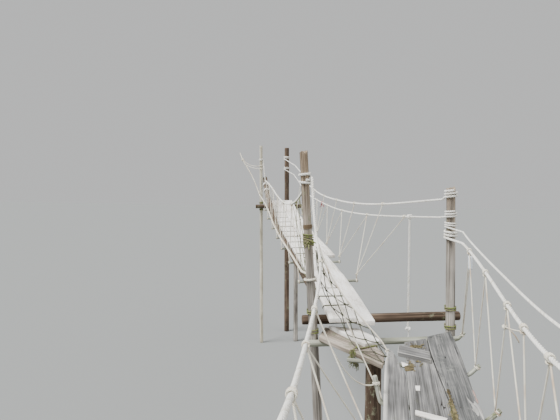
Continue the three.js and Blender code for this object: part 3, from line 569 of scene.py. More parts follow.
FINISHES = {
    # Planed softwood gone silver-grey outdoors: soft fibres, dark checks, little gloss, and a pale colour for
    # wear that also serves as painted highlight
    "grey_softwood": lambda: timber(
        "softwood_weathered_grey", ("#484745", "#727170", "#9e9c98"), "#25221f", "#60614e", worn_and_highlit="#e4e1d9"),
    # The same wood, darker, speckled with pale lichen
    "lichen_softwood": lambda: timber(
        "softwood_lichen_grey", ("#424342", "#646463", "#8c8b88"), "#232221", "#83847e",
        growth_cut=(0.52, 0.66), worn_and_highlit="#d3d1ca"),
    # Sun-bleached softwood: pale cream grey, faint pinkish fibres
    "bleached_softwood": lambda: timber(
        "softwood_sun_bleached", ("#c9c2b7", "#eeeae3", "#fcfbf8"), "#8a8073", "#bdb9a6",
        growth_cut=(0.62, 0.74), worn_and_highlit="#f4f1ea"),
    # Old brown softwood of the platform: greyish beige, blotched
    "brown_softwood": lambda: timber(
        "softwood_weathered_brown", ("#5d5349", "#908478", "#beb4a8"), "#2a231b", "#72735c",
        growth_cut=(0.48, 0.60), worn_and_highlit="#b3a796"),
    # Split cedar posts: pink-brown to grey, long deep checks, lichen
    "cedar_post": lambda: timber(
        "cedar_post_split", ("#4c4640", "#8c867e", "#bfb9b0"), "#211d19", "#84866c",
        fibre=0.007, band=0.035, bump=0.9, crack_width=0.018, aged=(3.5, 4.5, "#e6d3bd")),
    # Debarked pole bleached nearly white
    "bleached_pole": lambda: timber(
        "pole_debarked_bleached", ("#938c78", "#c2bba7", "#ded9c8"), "#5b5342", "#9a9a7c"),
    # Logs in their rough bark: dark, ridged, with lichen
    "bark_log": lambda: timber(
        "log_rough_bark", ("#33291f", "#57483c", "#7e6d5d"), "#1a1410", "#80816a",
        fibre=0.012, band=0.05, bump=1.0, growth_cut=(0.52, 0.62), rough=0.92),
    # Peeled poles under the deck: grey-green with algae
    "peeled_pole": lambda: timber(
        "pole_peeled_algae", ("#65665a", "#969788", "#c3c4b8"), "#35332a", "#74794f",
        growth_cut=(0.50, 0.64)),
    # Three-strand nylon: bright off-white, slight sheen, grey painted shade in the grooves
    "white_nylon": lambda: cordage("nylon_three_strand", "#fbfaf5", "#dcd8cc", "#d6d0bf", 7, 0.05),
    # The second colour of each cord below is painted shade in its grooves.
    # Polyester cord yellowed and soiled by use
    "cream_cord": lambda: cordage("polyester_cord_soiled", "#f2eedf", "#c0b8a0", "#c2a98f", 3, 0.026),
    # Old hemp net cord grown over with moss
    "mossy_cord": lambda: cordage(
        "hemp_cord_mossy", "#928b66", "#45422c", "#565236", 3, 0.022, growth="#6d7b36", bump=0.9),
    # The same cord, black with damp
    "dark_cord": lambda: cordage(
        "hemp_cord_damp", "#575445", "#2a2a21", "#35352a", 3, 0.022, growth="#454b2c"),
    # Brown twine of twisted bark fibre
    "brown_twine": lambda: cordage("twine_palm_fibre", "#857155", "#4a3c2c", "#5c4d39", 3, 0.014),
    # Galvanised wire nails, gone dull
    "nail_zinc": lambda: spotted(
        "steel_zinc_dull", 400.0, ((0.4, "#5b5650"), (0.6, "#8b8782")), 0.5, metallic=1.0),
    # Pale plastic sleeve
    "pale_plastic": lambda: spotted(
        "pvc_sleeve_pale", 90.0, ((0.45, "#eef4fa"), (0.75, "#ccd5dc")), 0.35, detail=4.0),
    # Vinyl flagging tape, pink-red
    "flag_tape": lambda: spotted(
        "vinyl_tape_pink", 90.0, ((0.45, "#d9626a"), (0.75, "#b5575c")), 0.45, detail=4.0),
    # Fallen leaves and bark crumbs
    "leaf_litter": lambda: timber(
        "leaf_litter_dry", ("#2f2a1f", "#655a42", "#95875f"), "#241f17", "#5a5a3c",
        fibre=0.004, band=0.016, growth_cut=(0.46, 0.56)),
    # Split bark on the edge of the right plank, red-brown
    "red_bark": lambda: timber(
        "bark_softwood_red", ("#5e4740", "#8d726a", "#ab958b"), "#2c211d", "#77745a",
        fibre=0.004, band=0.02),
}
MATERIALS = {}


def material_for(finish):
    """Material of a finish, made the first time it is asked for."""
    if finish not in MATERIALS:
        MATERIALS[finish] = FINISHES[finish]()
    return MATERIALS[finish]


def rough_bark(seed, ridge, swell, checks=()):
    """Radius of a pole round its turn: swells, ridges along it, and open checks of a place and width."""
    origin = Vector((seed * 7.3, seed * 3.1, seed * 1.7))

    def shape(turn, _ring, along):
        angle = turn * math.tau
        here = Vector((math.cos(angle), math.sin(angle), 0.0))
        value = 1.0 + swell * noise.noise(origin + here * 0.8 + up(along * 2.2))
        value += ridge * noise.noise(origin + here * 4.0 + up(along * 3.0))
        for place, width, start, end in checks:
            wander = 0.04 * noise.noise(Vector((along * 2.0, seed, place)))
            away = abs((turn - place + wander + 0.5) % 1.0 - 0.5)
            if start < along < end and away < width:
                value -= 0.14 * (1 - away / width)
        return value
    return shape


def radii_along(lengths, path, radius):
    """Radius at each length, between the radii given at the points of a path."""
    if isinstance(radius, float):
        return [radius] * len(lengths)
    spans = lengths_along(path)
    radii = []
    for length in lengths:
        reach = length * spans[-1] / lengths[-1]
        i = max(1, next((n for n, span in enumerate(spans) if span >= reach - 1e-6), len(spans) - 1))
        share = (reach - spans[i - 1]) / (spans[i] - spans[i - 1])
        radii.append(radius[i - 1] + (radius[i] - radius[i - 1]) * min(1.0, share))
    return radii


# Sawn ends lose their sharp rim: radius left at the end, and the share of a step where it is whole again
RIM_LEFT = 0.93
RIM_STEP = 0.12
# A torn top is rough down to this depth
TORN_REACH = 0.012


def pole(
        name, path, radius, finish, node, sides=24, step=0.045, seed=1, ridge=0.03, swell=0.05, checks=(),
        torn=0.0):
    """Round timber swept along a path, rough as grown, with sawn ends or a top that has rotted unevenly."""
    piece = Piece(seed)
    line = resample([Vector(p) for p in path], step)
    radii = radii_along(lengths_along(line), path, radius)
    radii[0] *= RIM_LEFT
    radii[-1] *= RIM_LEFT
    line.insert(1, line[0].lerp(line[1], RIM_STEP))
    radii.insert(1, radii[1])
    line.insert(-1, line[-1].lerp(line[-2], RIM_STEP))
    radii.insert(-1, radii[-2])
    piece.sweep(line, radii, sides, shape=rough_bark(seed, ridge, swell, checks))
    highest = max(vert.co.z for vert in piece.bm.verts)
    for vert in piece.bm.verts:
        if torn and vert.co.z > highest - TORN_REACH:
            spot = Vector((vert.co.x * 28, vert.co.y * 28, seed * 5.1))
            vert.co.z -= torn * max(0.0, 0.35 + noise.noise(spot))
        vert.co.z = max(vert.co.z, 0.0)
    piece.make(name, finish, node, sharp=50)


def cut_across(bm, direction, gap):
    """Cut a board into slices of about a gap, so that its faces can bend."""
    reach = [vert.co.dot(direction) for vert in bm.verts]
    count = max(1, round((max(reach) - min(reach)) / gap))
    for n in range(1, count):
        place = min(reach) + (max(reach) - min(reach)) * n / count
        bmesh.ops.bisect_plane(
            bm, geom=bm.verts[:] + bm.edges[:] + bm.faces[:], dist=1e-6, plane_co=direction * place,
            plane_no=direction)


# Slices along and across a board
BOARD_STEP = 0.06
BOARD_SLICE = 0.035
# How far in the wear of a sawn end reaches, how deep it is, and how far a board's faces bend
END_REACH = 0.02
END_WEAR = 0.006
CUP = 0.0018


def board(node, heading, finish, seed, edge=0.004, ragged=0.004, highlight_and_wear_band=None):
    """Sawn board from its solid: rounded arrises, uneven faces, ragged ends, and one side pale with wear and
    painted highlight.
    """
    piece = Piece(seed)
    bm = piece.bm
    bm.from_mesh(bpy.data.objects[node].data)
    piece.find_layers()
    bmesh.ops.remove_doubles(bm, verts=bm.verts[:], dist=1e-6)
    bmesh.ops.dissolve_limit(bm, angle_limit=0.005, verts=bm.verts[:], edges=bm.edges[:])
    arrises = [e for e in bm.edges if len(e.link_faces) == 2 and e.calc_face_angle(0.0) > 0.6]
    bmesh.ops.bevel(
        bm, geom=arrises, offset=edge, segments=2, profile=0.5, affect="EDGES", material=-1,
        clamp_overlap=True)
    along, across = axes_of(heading)
    cut_across(bm, along, BOARD_STEP)
    cut_across(bm, across, BOARD_SLICE)
    bm.normal_update()
    far_end = max(vert.co.dot(along) for vert in bm.verts)
    near_end = min(vert.co.dot(along) for vert in bm.verts)
    middle = sum(vert.co.dot(across) for vert in bm.verts) / len(bm.verts)
    start = Vector((seed * 3.7, seed * 1.9, seed * 5.3))
    moves = []
    for vert in bm.verts:
        a, s = vert.co.dot(across), vert.co.dot(along)
        vert[piece.grain] = Vector((a - middle + seed * 2.3, s + seed * 0.7, vert.co.z))
        # A rounded arris faces none of the board's own directions, and is rubbed bright
        flatness = max(abs(vert.normal.z), abs(vert.normal.dot(along)), abs(vert.normal.dot(across)))
        vert[piece.wear] = min(1.0, max(0.0, (0.985 - flatness) * 5))
        # A band along one side takes the full wear colour: partly wear, partly painted highlight.
        if highlight_and_wear_band and a < highlight_and_wear_band:
            vert[piece.wear] = 1.0
        broad = Vector((a * 4.0, s * 1.1, 0.0)) + start
        fine = Vector((a * 22.0, s * 5.0, vert.co.z * 8.0)) + start
        move = up(CUP * noise.noise(broad) + CUP * 0.5 * noise.noise(fine))
        sideways = vert.normal - up(vert.normal.z)
        if sideways.length > 0.3:
            wave = noise.noise(Vector((s * 2.3, seed, 1.0)))
            wave += 0.5 * noise.noise(Vector((s * 11.0, seed, vert.co.z * 20)))
            if min(far_end - s, s - near_end) < END_REACH and abs(vert.normal.dot(along)) > 0.5:
                move += along * END_WEAR * noise.noise(Vector((a * 45.0, seed, vert.co.z * 12)))
            else:
                move += sideways.normalized() * ragged * (wave - 0.25)
        moves.append((vert, move))
    for vert, move in moves:
        vert.co += move
    piece.make("worn_" + node, finish, node, sharp=40)


def leg_line(a, b, sag=0.0, points=14):
    """Straight or sagging line between two points."""
    line = []
    for i in range(points + 1):
        t = i / points
        point = Vector(a).lerp(Vector(b), t)
        point.z -= 4 * sag * t * (1 - t)
        line.append(point)
    return line


def station(line, number, carried, steps=ROPE_STEPS):
    """Place on a rope at one of its control points."""
    at = number * steps
    axis = line[min(at + 1, len(line) - 1)] - line[max(at - 1, 0)]
    return Vector(line[at]), axis.normalized(), carried


def side_of(place, toward, rope):
    """Point on the surface of what a station carries, on the side toward another point."""
    centre, axis, carried = place[:3]
    away = Vector(toward) - centre
    away -= axis * away.dot(axis)
    return centre + away.normalized() * (carried + rope)


# Rope lines: listed control points, as in the solids
A_LEFT = (
    (-0.062, 0.42, 3.58), (-0.102, 0.90, 3.432), (-0.122, 1.13, 3.368), (-0.196, 1.757, 3.203),
    (-0.275, 2.48, 3.103), (-0.345, 3.20, 3.071), (-0.367, 3.55, 3.150), (-0.401, 3.85, 3.247),
    (-0.495, 4.25, 3.402), (-0.556, 4.50, 3.590), (-0.606, 4.716, 3.872),
)
A_RIGHT = (
    (0.776, 0.35, 3.48), (0.772, 1.03, 3.33), (0.768, 1.757, 3.205), (0.765, 2.464, 3.137),
    (0.765, 2.872, 3.136), (0.765, 3.224, 3.159), (0.765, 3.878, 3.217), (0.763, 4.58, 3.262),
    (0.752, 4.90, 3.280),
)
A_UPPER = (
    (0.792, 0.40, 3.60), (0.786, 1.20, 3.42), (0.778, 2.393, 3.29), (0.778, 3.478, 3.292),
    (0.774, 4.70, 3.34), (0.762, 4.96, 3.376),
)
B_LEFT = (
    (0.41, -0.474, 3.765), (0.789, -0.432, 3.714), (1.233, -0.424, 3.614), (1.70, -0.422, 3.545),
    (2.58, -0.420, 3.512), (3.43, -0.420, 3.560), (4.27, -0.418, 3.652), (5.10, -0.414, 3.722),
    (5.88, -0.402, 3.762), (6.38, -0.386, 3.775),
)
B_RIGHT = (
    (0.33, 0.90, 3.66), (1.26, 0.60, 3.56), (2.15, 0.50, 3.52), (3.01, 0.45, 3.52), (3.85, 0.425, 3.545),
    (4.69, 0.42, 3.61), (5.52, 0.41, 3.74), (6.23, 0.40, 3.93), (6.90, 0.345, 4.12),
)
B_LOWER = (
    (0.36, 0.88, 3.48), (0.82, 0.70, 3.45), (1.70, 0.545, 3.40), (2.58, 0.432, 3.39), (3.43, 0.392, 3.415),
    (4.27, 0.380, 3.455), (5.10, 0.362, 3.52), (5.88, 0.355, 3.64), (6.30, 0.352, 3.74), (6.95, 0.326, 3.905),
)
B_EDGE = (
    (0.56, -0.466, 2.925), (1.588, -0.446, 2.940), (2.903, -0.446, 2.990), (3.90, -0.446, 3.080),
    (4.874, -0.448, 3.220), (5.80, -0.466, 3.350), (6.50, -0.510, 3.462), (6.78, -0.524, 3.540),
    (7.10, -0.650, 3.877), (7.45, -0.849, 4.261), (7.60, -0.916, 4.435),
)
NET_TOP = (
    (-0.539, 4.690, 3.261), (-0.478, 4.663, 3.104), (-0.374, 4.616, 2.919), (-0.255, 4.561, 2.775),
    (-0.089, 4.486, 2.607), (0.046, 4.425, 2.479), (0.098, 4.398, 2.409),
)
NET_LOW = (
    (-0.564, 4.702, 3.202), (-0.552, 4.697, 3.034), (-0.501, 4.673, 2.843), (-0.411, 4.632, 2.699),
    (-0.324, 4.593, 2.613), (-0.256, 4.562, 2.461), (-0.164, 4.400, 2.3983), (-0.039, 4.253, 2.3983),
    (0.066, 4.146, 2.3983),
)


def on_far(points):
    """Points given along, across and up the far span, in the model's frame."""
    return [far_span(*point) for point in points]


def nearest_along(line, along):
    """Point of a line that lies nearest to a distance along the far span."""
    return min(line, key=lambda point: abs((point - FAR_START).dot(ALONG_FAR) - along))


def solid_box(node):
    """Lowest and highest corner, and the middle, of a solid's box."""
    low, high = (Vector(corner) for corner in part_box(node))
    return low, high, (low + high) / 2


def far_posts():
    """The pale pole, the short leg and the far right trunk, each upright, from the boxes of their solids."""
    result = {}
    for name, slim in (
            ("far_post_left", 0.033 / 0.038), ("far_leg_right", 48 / 52), ("far_post_right", 55 / 62)):
        low, high, middle = solid_box(name)
        reach = (high.x - low.x) / 2
        foot = (middle.x, middle.y)
        result[name] = {"foot": foot, "top": (*foot, high.z), "radius": (reach, reach * slim)}
    return result


FAR_POSTS = far_posts()


def metres(name, description, default, low, high):
    """Length that the panel offers."""
    return bpy.props.FloatProperty(
        name=name, description=description, default=default, min=low, max=high, subtype="DISTANCE",
        unit="LENGTH")


class TimberProps(bpy.types.PropertyGroup):
    """Sizes of the timber's wear."""

    arris: metres("Rounded arris", "Rounding of the boards' worn edges", 0.004, 0.001, 0.012)
    ragged: metres("Ragged edge", "How far the planks' edges wander", 0.005, 0.0, 0.02)
    ridge: bpy.props.FloatProperty(
        name="Bark ridges", description="Height of the ridges on the posts, as a share of their radius",
        default=0.035, min=0.0, max=0.2)
    nail: metres("Nail head", "Radius of a nail head", 0.0055, 0.002, 0.02)


class RopeProps(bpy.types.PropertyGroup):
    """Sizes of the ropes and cords."""

    handrail: metres("Handrail rope", "Radius of the handrail ropes", 0.012, 0.004, 0.03)
    light: metres("Light rope", "Radius of the light rope above the right handrail", 0.008, 0.003, 0.02)
    lacing: metres("Lacing cord", "Radius of the lacing between handrails and bearers", 0.0045, 0.002, 0.01)
    net: metres("Net cord", "Radius of the net's cords", 0.0035, 0.002, 0.01)


class StageProps(bpy.types.PropertyGroup):
    """Floor and light."""

    floor: bpy.props.FloatVectorProperty(
        name="Floor", description="Colour of the floor", default=linear("#888a89")[:3], size=3,
        subtype="COLOR", min=0.0, max=1.0)
    key: bpy.props.FloatProperty(
        name="Key light", description="Strength of the main soft light", default=6.0, min=0.0)
    sky: bpy.props.FloatProperty(
        name="Surrounding light", description="Strength of the light from all round", default=0.64, min=0.0)


class BRIDGE_OT_posts(bpy.types.Operator):
    """Split cedar posts, the bleached pole and the dark pile"""

    bl_idname = "footbridge.posts"
    bl_label = "Posts"

    def execute(self, context):
        ridge = context.scene.footbridge_timber.ridge
        posts = {
            "near_post_left": (NEAR_LEFT, "cedar_post"), "near_post_right": (NEAR_RIGHT, "cedar_post"),
            "mid_post_left": (MID_LEFT, "cedar_post"), "mid_post_right": (MID_RIGHT, "cedar_post"),
            "far_leg_right": (FAR_POSTS["far_leg_right"], "cedar_post"),
            "far_post_right": (FAR_POSTS["far_post_right"], "bark_log"),
            "far_post_left": (FAR_POSTS["far_post_left"], "bleached_pole"),
        }
        for seed, (node, (post, finish)) in enumerate(posts.items(), start=3):
            # Long open checks: place round the post, half width, and the heights between which each is open
            checks = (
                (0.12 + seed * 0.13, 0.035, 0.4, 3.1), (0.62 + seed * 0.07, 0.028, 1.9, 4.1),
                (0.36 + seed * 0.21, 0.030, 2.4, 3.7),
            )
            pole(
                "timber_" + node, (Vector((*post["foot"], 0.0)), Vector(post["top"])), post["radius"], finish,
                node, sides=36, seed=seed, ridge=ridge, swell=0.05, checks=checks,
                torn=0.035 if finish == "cedar_post" else 0.0)
        low, high, middle = solid_box("mid_pile")
        reach = (high.x - low.x) / 2
        pole(
            "trunk_pile", [Vector((middle.x, middle.y, z)) for z in (0.0, 1.2, high.z)],
            [reach, reach * 0.907, reach * 0.814], "bark_log", "mid_pile", sides=40, seed=21, ridge=0.09,
            swell=0.07)
        return {"FINISHED"}


def bearer_skew(x):
    """How much nearer a near bearer lies at a place across the deck; its left end isn't moved."""
    skew_from, tip = RIGHT_END[0][0], RIGHT_END[-1][0]
    return BEARER_SKEW * max(0.0, x - skew_from) / (tip - skew_from)


def on_bearer(y, x, rise):
    """Point on the axis of the near bearer that crosses the left plank at y."""
    return Vector((x, y - bearer_skew(x), BEARER_Z + rise))


def log_line(node, heading):
    """Ends of a straight level log, from the box of its solid and its heading."""
    low, high, middle = solid_box(node)
    reach = (high.z - low.z) / 2
    _, direction = axes_of(heading)
    half = ((high.x - low.x) / 2 - reach * abs(math.sin(heading))) / math.cos(heading)
    return middle - direction * half, middle + direction * half, reach


def across_posts(z, side, log_radius):
    """Line along the middle posts: its length, and the point at a distance from the left one."""
    left, _ = post_at(MID_LEFT, z)
    right, _ = post_at(MID_RIGHT, z)
    heading = math.atan2(right.y - left.y, right.x - left.x)
    ends = []
    for post in (MID_LEFT, MID_RIGHT):
        centre, radius = post_at(post, z)
        gap = side * (radius + log_radius)
        ends.append(centre + axes_of(heading)[0] * gap)
    span = (ends[1] - ends[0]).length
    return span, lambda distance, rise=0.0: ends[0].lerp(ends[1], distance / span) + up(rise)


def side_log_line():
    """Axis and radii of the log along the left edge of the far span: it lies on the bearers, then climbs."""
    rows = [(0.56, -0.320, far_deck(0.56) + 0.006, 0.027)]
    for i, (offset, radius, lift) in enumerate((
            (-0.322, 0.030, 0.0), (-0.322, 0.033, 0.0), (-0.322, 0.036, 0.0), (-0.324, 0.040, 0.0),
            (-0.328, 0.044, 0.030))):
        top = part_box(f"b_bearer_{i + 1}")[1][2]
        rows.append((FAR_BEARER_ALONG[i], offset, top + radius * 0.95 + lift, radius))
    for along, offset, rise, radius in (
            (5.20, -0.332, 0.090, 0.047), (5.90, -0.342, 0.190, 0.050), (6.50, -0.358, 0.350, 0.052),
            (6.80, -0.364, 0.520, 0.052)):
        rows.append((along, offset, far_deck(along) + rise, radius))
    radii = [(rows[i // 2][3] + rows[(i + 1) // 2][3]) / 2 for i in range(2 * len(rows) - 1)]
    return smooth([far_span(*row[:3]) for row in rows], 2), radii


class BRIDGE_OT_logs(bpy.types.Operator):
    """Sills, platform logs, the side log and the bearers under both decks"""

    bl_idname = "footbridge.logs"
    bl_label = "Logs and bearers"

    def execute(self, context):
        for seed, (node, heading) in enumerate((("near_sill", 0.0), ("far_sill", FAR_HEADING)), start=31):
            a, b, reach = log_line(node, heading)
            pole("log_" + node, (a, b), reach, "bark_log", node, seed=seed, ridge=0.06)
        span, at = across_posts(NEAR_LOG_Z, -1, NEAR_LOG_RADIUS)
        path = [at(-0.11), at(span - 0.06), at(span + 0.03)]
        path += [at(span + past, rise) for past, rise in NEAR_LOG_END]
        pole(
            "log_mid_near", path, [0.032, 0.032, 0.026, 0.016, 0.012], "peeled_pole", "mid_log_near",
            seed=33)
        span, at = across_posts(solid_box("mid_log_far")[2].z, 1, 0.045)
        pole(
            "log_mid_far", (at(-0.09), at(span + 0.13)), 0.0445, "bark_log", "mid_log_far", seed=34,
            ridge=0.06)
        line, radii = side_log_line()
        pole("log_side", line, radii, "bark_log", "b_side_log", sides=28, seed=35, ridge=0.08, swell=0.06)
        for i, y in enumerate(BEARER_ROWS):
            left_end = HIDDEN_LEFT_END if i == len(BEARER_ROWS) - 1 else LEFT_END
            path = [on_bearer(y, x, rise) for x, rise in (*left_end, *RIGHT_END)]
            pole(
                f"pole_near_{i + 1}", path, BEARER_RADIUS * 0.99, "peeled_pole", f"a_bearer_{i + 1}",
                sides=14, step=0.02, seed=40 + i, ridge=0.05, swell=0.08)
        for i in range(len(FAR_BEARER_ALONG)):
            a, b, reach = log_line(f"b_bearer_{i + 1}", FAR_HEADING)
            pole(
                f"pole_far_{i + 1}", (a, b), reach, "peeled_pole", f"b_bearer_{i + 1}", sides=14, step=0.03,
                seed=50 + i, ridge=0.05, swell=0.08)
        return {"FINISHED"}


class BRIDGE_OT_boards(bpy.types.Operator):
    """Weathered planks, platform boards and the bleached boards of the far span"""

    bl_idname = "footbridge.boards"
    bl_label = "Planks and boards"

    def execute(self, context):
        wear = context.scene.footbridge_timber
        # The left plank's outer band gets the wear colour: wear and painted highlight.
        board("a_plank_left", 0.0, "grey_softwood", 1, edge=wear.arris, ragged=wear.ragged, highlight_and_wear_band=0.104)
        board("a_plank_middle", 0.0, "grey_softwood", 2, edge=wear.arris, ragged=wear.ragged)
        board("a_plank_right", 0.0, "lichen_softwood", 3, edge=wear.arris, ragged=wear.ragged)
        board("mid_side_plank", math.radians(47.4), "brown_softwood", 11, edge=0.006, ragged=0.008)
        board("mid_step_board", math.radians(-113.5), "grey_softwood", 12, edge=wear.arris)
        board("mid_wedge_board", math.radians(41.0), "bleached_softwood", 13, edge=0.003)
        for seed, node in enumerate(sorted(n for n in SLOT_OF if n.startswith("b_board")), start=14):
            board(node, FAR_HEADING, "bleached_softwood", seed, edge=wear.arris, ragged=0.004)
        return {"FINISHED"}


def rope_between(seed, name, node, rope, points, start, end):
    """Laid rope through its points; an end names its post, and the height, turns, side and rise there."""
    first = wrap_post(start[0], rope, points[0], *start[1:])
    last = wrap_post(end[0], rope, points[-1], *end[1:])
    piece = Piece(seed)
    piece.laid_rope([*reversed(first), *smooth(points), *last], rope)
    piece.make(name, "white_nylon", node)


class BRIDGE_OT_near_ropes(bpy.types.Operator):
    """Handrail ropes of the near span, with their turns round the posts"""

    bl_idname = "footbridge.near_ropes"
    bl_label = "Near ropes"

    def execute(self, context):
        ropes = context.scene.footbridge_rope
        thick, light = ropes.handrail, ropes.light
        rope_between(
            1, "rope_near_left", "a_handrail_left", thick, A_LEFT,
            (NEAR_LEFT, 3.70, 2.4, 1, 0.029), (MID_LEFT, 3.888, 1.3, 1, 0.027))
        rope_between(
            2, "rope_near_right", "a_handrail_right", thick, A_RIGHT,
            (NEAR_RIGHT, 3.56, 2.4, -1, 0.029), (MID_RIGHT, 3.296, 2.3, -1, 0.029))
        rope_between(
            3, "rope_near_upper", "a_upper_rope_right", light, A_UPPER,
            (NEAR_RIGHT, 3.72, 2.4, -1, 0.020), (MID_RIGHT, 3.40, 2.3, -1, 0.020))
        return {"FINISHED"}


def far_left_rope(thick):
    """Left handrail: hitched twice to the side log, and led up to the pale pole."""
    piece = Piece(4)
    points = on_far(B_LEFT)
    line = smooth(points)
    log_points, log_radii = side_log_line()
    hitches = []
    for at in (len(log_points) - 2, len(log_points) - 3):
        axis = log_points[at] - log_points[at - 1]
        centre = log_points[at].lerp(log_points[at - 1], 0.4)
        hitches.append((centre, axis.normalized(), log_radii[at]))
    turns = wrap_post(MID_LEFT, thick, points[0], 3.820, 1.3, -1, 0.027)
    piece.laid_rope([*reversed(turns), *line, side_of(hitches[0], line[-1], thick)], thick)
    for hitch in hitches:
        piece.coil(*hitch, thick * 0.9, 2.0, steps=20)
    piece.laid_rope([side_of(hitches[1], line[-1], thick), line[-8]], thick * 0.8)
    top, reach = post_at(FAR_POSTS["far_post_left"], 4.241)
    piece.coil(top, (0, 0, 1), reach, thick * 0.8, 2.0, steps=20)
    piece.laid_rope([side_of(hitches[0], top, thick), top + Vector((reach + thick, 0, 0))], thick * 0.8)
    piece.make("rope_far_left", "white_nylon", "b_handrail_left")


def far_edge_rope(thick):
    """Rope along the boards' left edge, on past the pale pole to a knot that two light ties hold."""
    piece = Piece(7)
    points = on_far(B_EDGE)
    line = smooth(points)
    turns = wrap_post(MID_LEFT, thick, points[0], 2.925, 1.1, -1, -0.027)
    piece.laid_rope([*reversed(turns), *line], thick)
    knot_at, axis, _ = station(line, 9, 0.0)
    piece.coil(knot_at, axis, thick, thick * 0.7, 3.0)
    piece.knot(knot_at, axis, thick * 2.4, thick * 0.7)
    tie = 0.006
    for drop, height, sag in ((0.0, 4.110, 0.060), (-0.16, 4.036, 0.020)):
        start = knot_at + axis * drop
        centre, reach = post_at(FAR_POSTS["far_post_left"], height)
        piece.coil(centre, (0, 0, 1), reach, tie, 2.0, steps=16)
        piece.cord(leg_line(start, side_of((centre, up(1), reach), start, tie), sag), tie)
    piece.make("rope_far_edge", "cream_cord", "b_edge_rope_left")


class BRIDGE_OT_far_ropes(bpy.types.Operator):
    """Handrail, lower and edge ropes of the far span, hitched to the log and the pale pole"""

    bl_idname = "footbridge.far_ropes"
    bl_label = "Far ropes"

    def execute(self, context):
        thick = context.scene.footbridge_rope.handrail
        far_left_rope(thick)
        right_post = FAR_POSTS["far_post_right"]
        rope_between(
            5, "rope_far_right", "b_handrail_right", FAR_RIGHT_ROPE, on_far(B_RIGHT),
            (MID_RIGHT, 3.690, 2.3, 1, 0.028), (right_post, 4.290, 2.4, -1, 0.028))
        rope_between(
            6, "rope_far_lower", "b_lower_rope_right", FAR_LOWER_ROPE, on_far(B_LOWER),
            (MID_RIGHT, 3.500, 2.3, 1, 0.024), (right_post, 4.040, 2.4, -1, 0.024))
        far_edge_rope(thick)
        return {"FINISHED"}


def bearer_tips(left):
    """Places near the tips of the near bearers on one side, each with its axis and radius."""
    rows = BEARER_ROWS[:-1] if left else BEARER_ROWS
    tips = []
    for y in rows:
        ends = LEFT_END[:2] if left else RIGHT_END[:-3:-1]
        tip, inner = (on_bearer(y, x, rise) for x, rise in ends)
        tips.append((tip.lerp(inner, 0.62), (tip - inner).normalized(), BEARER_RADIUS))
    return tips


def far_tips(left):
    """Places near the tips of the far bearers on one side."""
    tips = []
    for i in range(len(FAR_BEARER_ALONG)):
        a, b, reach = log_line(f"b_bearer_{i + 1}", FAR_HEADING)
        tip, other = (a, b) if left else (b, a)
        tips.append((tip + (other - tip).normalized() * 0.0174, (tip - other).normalized(), reach))
    return tips


def lace(piece, places, legs, cord, knots):
    """Cord that goes from place to place, with turns round each; knots names the places that are tied."""
    for i, (centre, axis, carried) in enumerate(places):
        piece.coil(centre, axis, carried, cord, 3.5 if i in knots else 2.0, phase=i * 1.3)
        if i in knots:
            below = centre + up(-carried - cord * 2.2)
            piece.knot(below, axis, cord * 3.2, cord)
    for a, b, *sag in legs:
        start = side_of(places[a], places[b][0], cord)
        end = side_of(places[b], places[a][0], cord)
        piece.cord(leg_line(start, end, sag[0] if sag else 0.004), cord)


def chain(count):
    """Legs of a cord that goes through all its places in turn."""
    return [(i, i + 1) for i in range(count - 1)]


def on_sill(x):
    """Place on the near sill."""
    low, high, middle = solid_box("near_sill")
    return Vector((x, middle.y, middle.z)), Vector((1, 0, 0)), (high.z - low.z) / 2


def near_left_lacing(cord, thick):
    """Left lacing; its second place serves two tips, and one leg hangs slack."""
    line = smooth(A_LEFT)
    tips = bearer_tips(True)
    ties = [station(line, n, thick) for n in (1, 3, 4, 5, 7)]
    places = [
        on_sill(-0.118), ties[0], tips[0], tips[1], ties[1], tips[2], ties[2], tips[3], ties[3],
        tips[4], ties[4],
    ]
    legs = ((0, 1), (1, 2), (1, 3), (3, 4), (4, 5), (5, 6), (6, 7), (7, 8), (8, 9, 0.15), (9, 10))
    piece = Piece(8)
    lace(piece, places, legs, cord, knots=(1, 4, 6, 8, 10))
    piece.tail(tips[4][0] + up(-0.02), (0.4, -0.2, -0.6), 0.07, cord)
    piece.make("lacing_near_left", "cream_cord", "a_lacing_left")


def near_right_lacing(cord, thick):
    """Right lacing, from the sill to the end of the thin log on the middle posts."""
    line = smooth(A_RIGHT)
    tips = bearer_tips(False)
    ties = [station(line, n, thick) for n in range(8)]
    span, at = across_posts(NEAR_LOG_Z, -1, NEAR_LOG_RADIUS)
    inner, tip = (at(span + past, rise) for past, rise in NEAR_LOG_END)
    log_end = (tip.lerp(inner, 0.5), (tip - inner).normalized(), 0.014)
    places = [
        on_sill(0.898), ties[0], tips[0], ties[1], tips[1], ties[2], tips[2], ties[3], tips[3],
        ties[4], ties[5], tips[4], ties[6], tips[5], ties[7], log_end,
    ]
    legs = [leg for leg in chain(len(places)) if leg != (9, 10)]
    legs.insert(9, (8, 10))
    piece = Piece(9)
    lace(piece, places, legs, cord, knots=(1, 3, 5, 7, 9, 10, 12, 14))
    # Second leg from the last knot, and a tie between two neighbouring knots with its loose end
    beside = Vector((0.012, -0.02, 0.0))
    piece.cord(leg_line(ties[7][0] + beside, log_end[0] + Vector((0.0, -0.018, 0.014))), cord)
    low_tie = ties[5][0].lerp(tips[4][0], 0.19)
    piece.cord(leg_line(low_tie, ties[4][0] + up(-0.02), 0.006), cord)
    piece.knot(low_tie, (0, 1, 0.2), cord * 2.8, cord * 1.25)
    piece.tail(low_tie, (0.9, 0.1, -0.7), 0.10, cord * 0.9)
    piece.make("lacing_near_right", "cream_cord", "a_lacing_right")


class BRIDGE_OT_near_lacing(bpy.types.Operator):
    """Lacing between the near handrails and the bearer tips"""

    bl_idname = "footbridge.near_lacing"
    bl_label = "Near lacing"

    def execute(self, context):
        ropes = context.scene.footbridge_rope
        near_left_lacing(ropes.lacing, ropes.handrail)
        near_right_lacing(ropes.lacing, ropes.handrail)
        return {"FINISHED"}


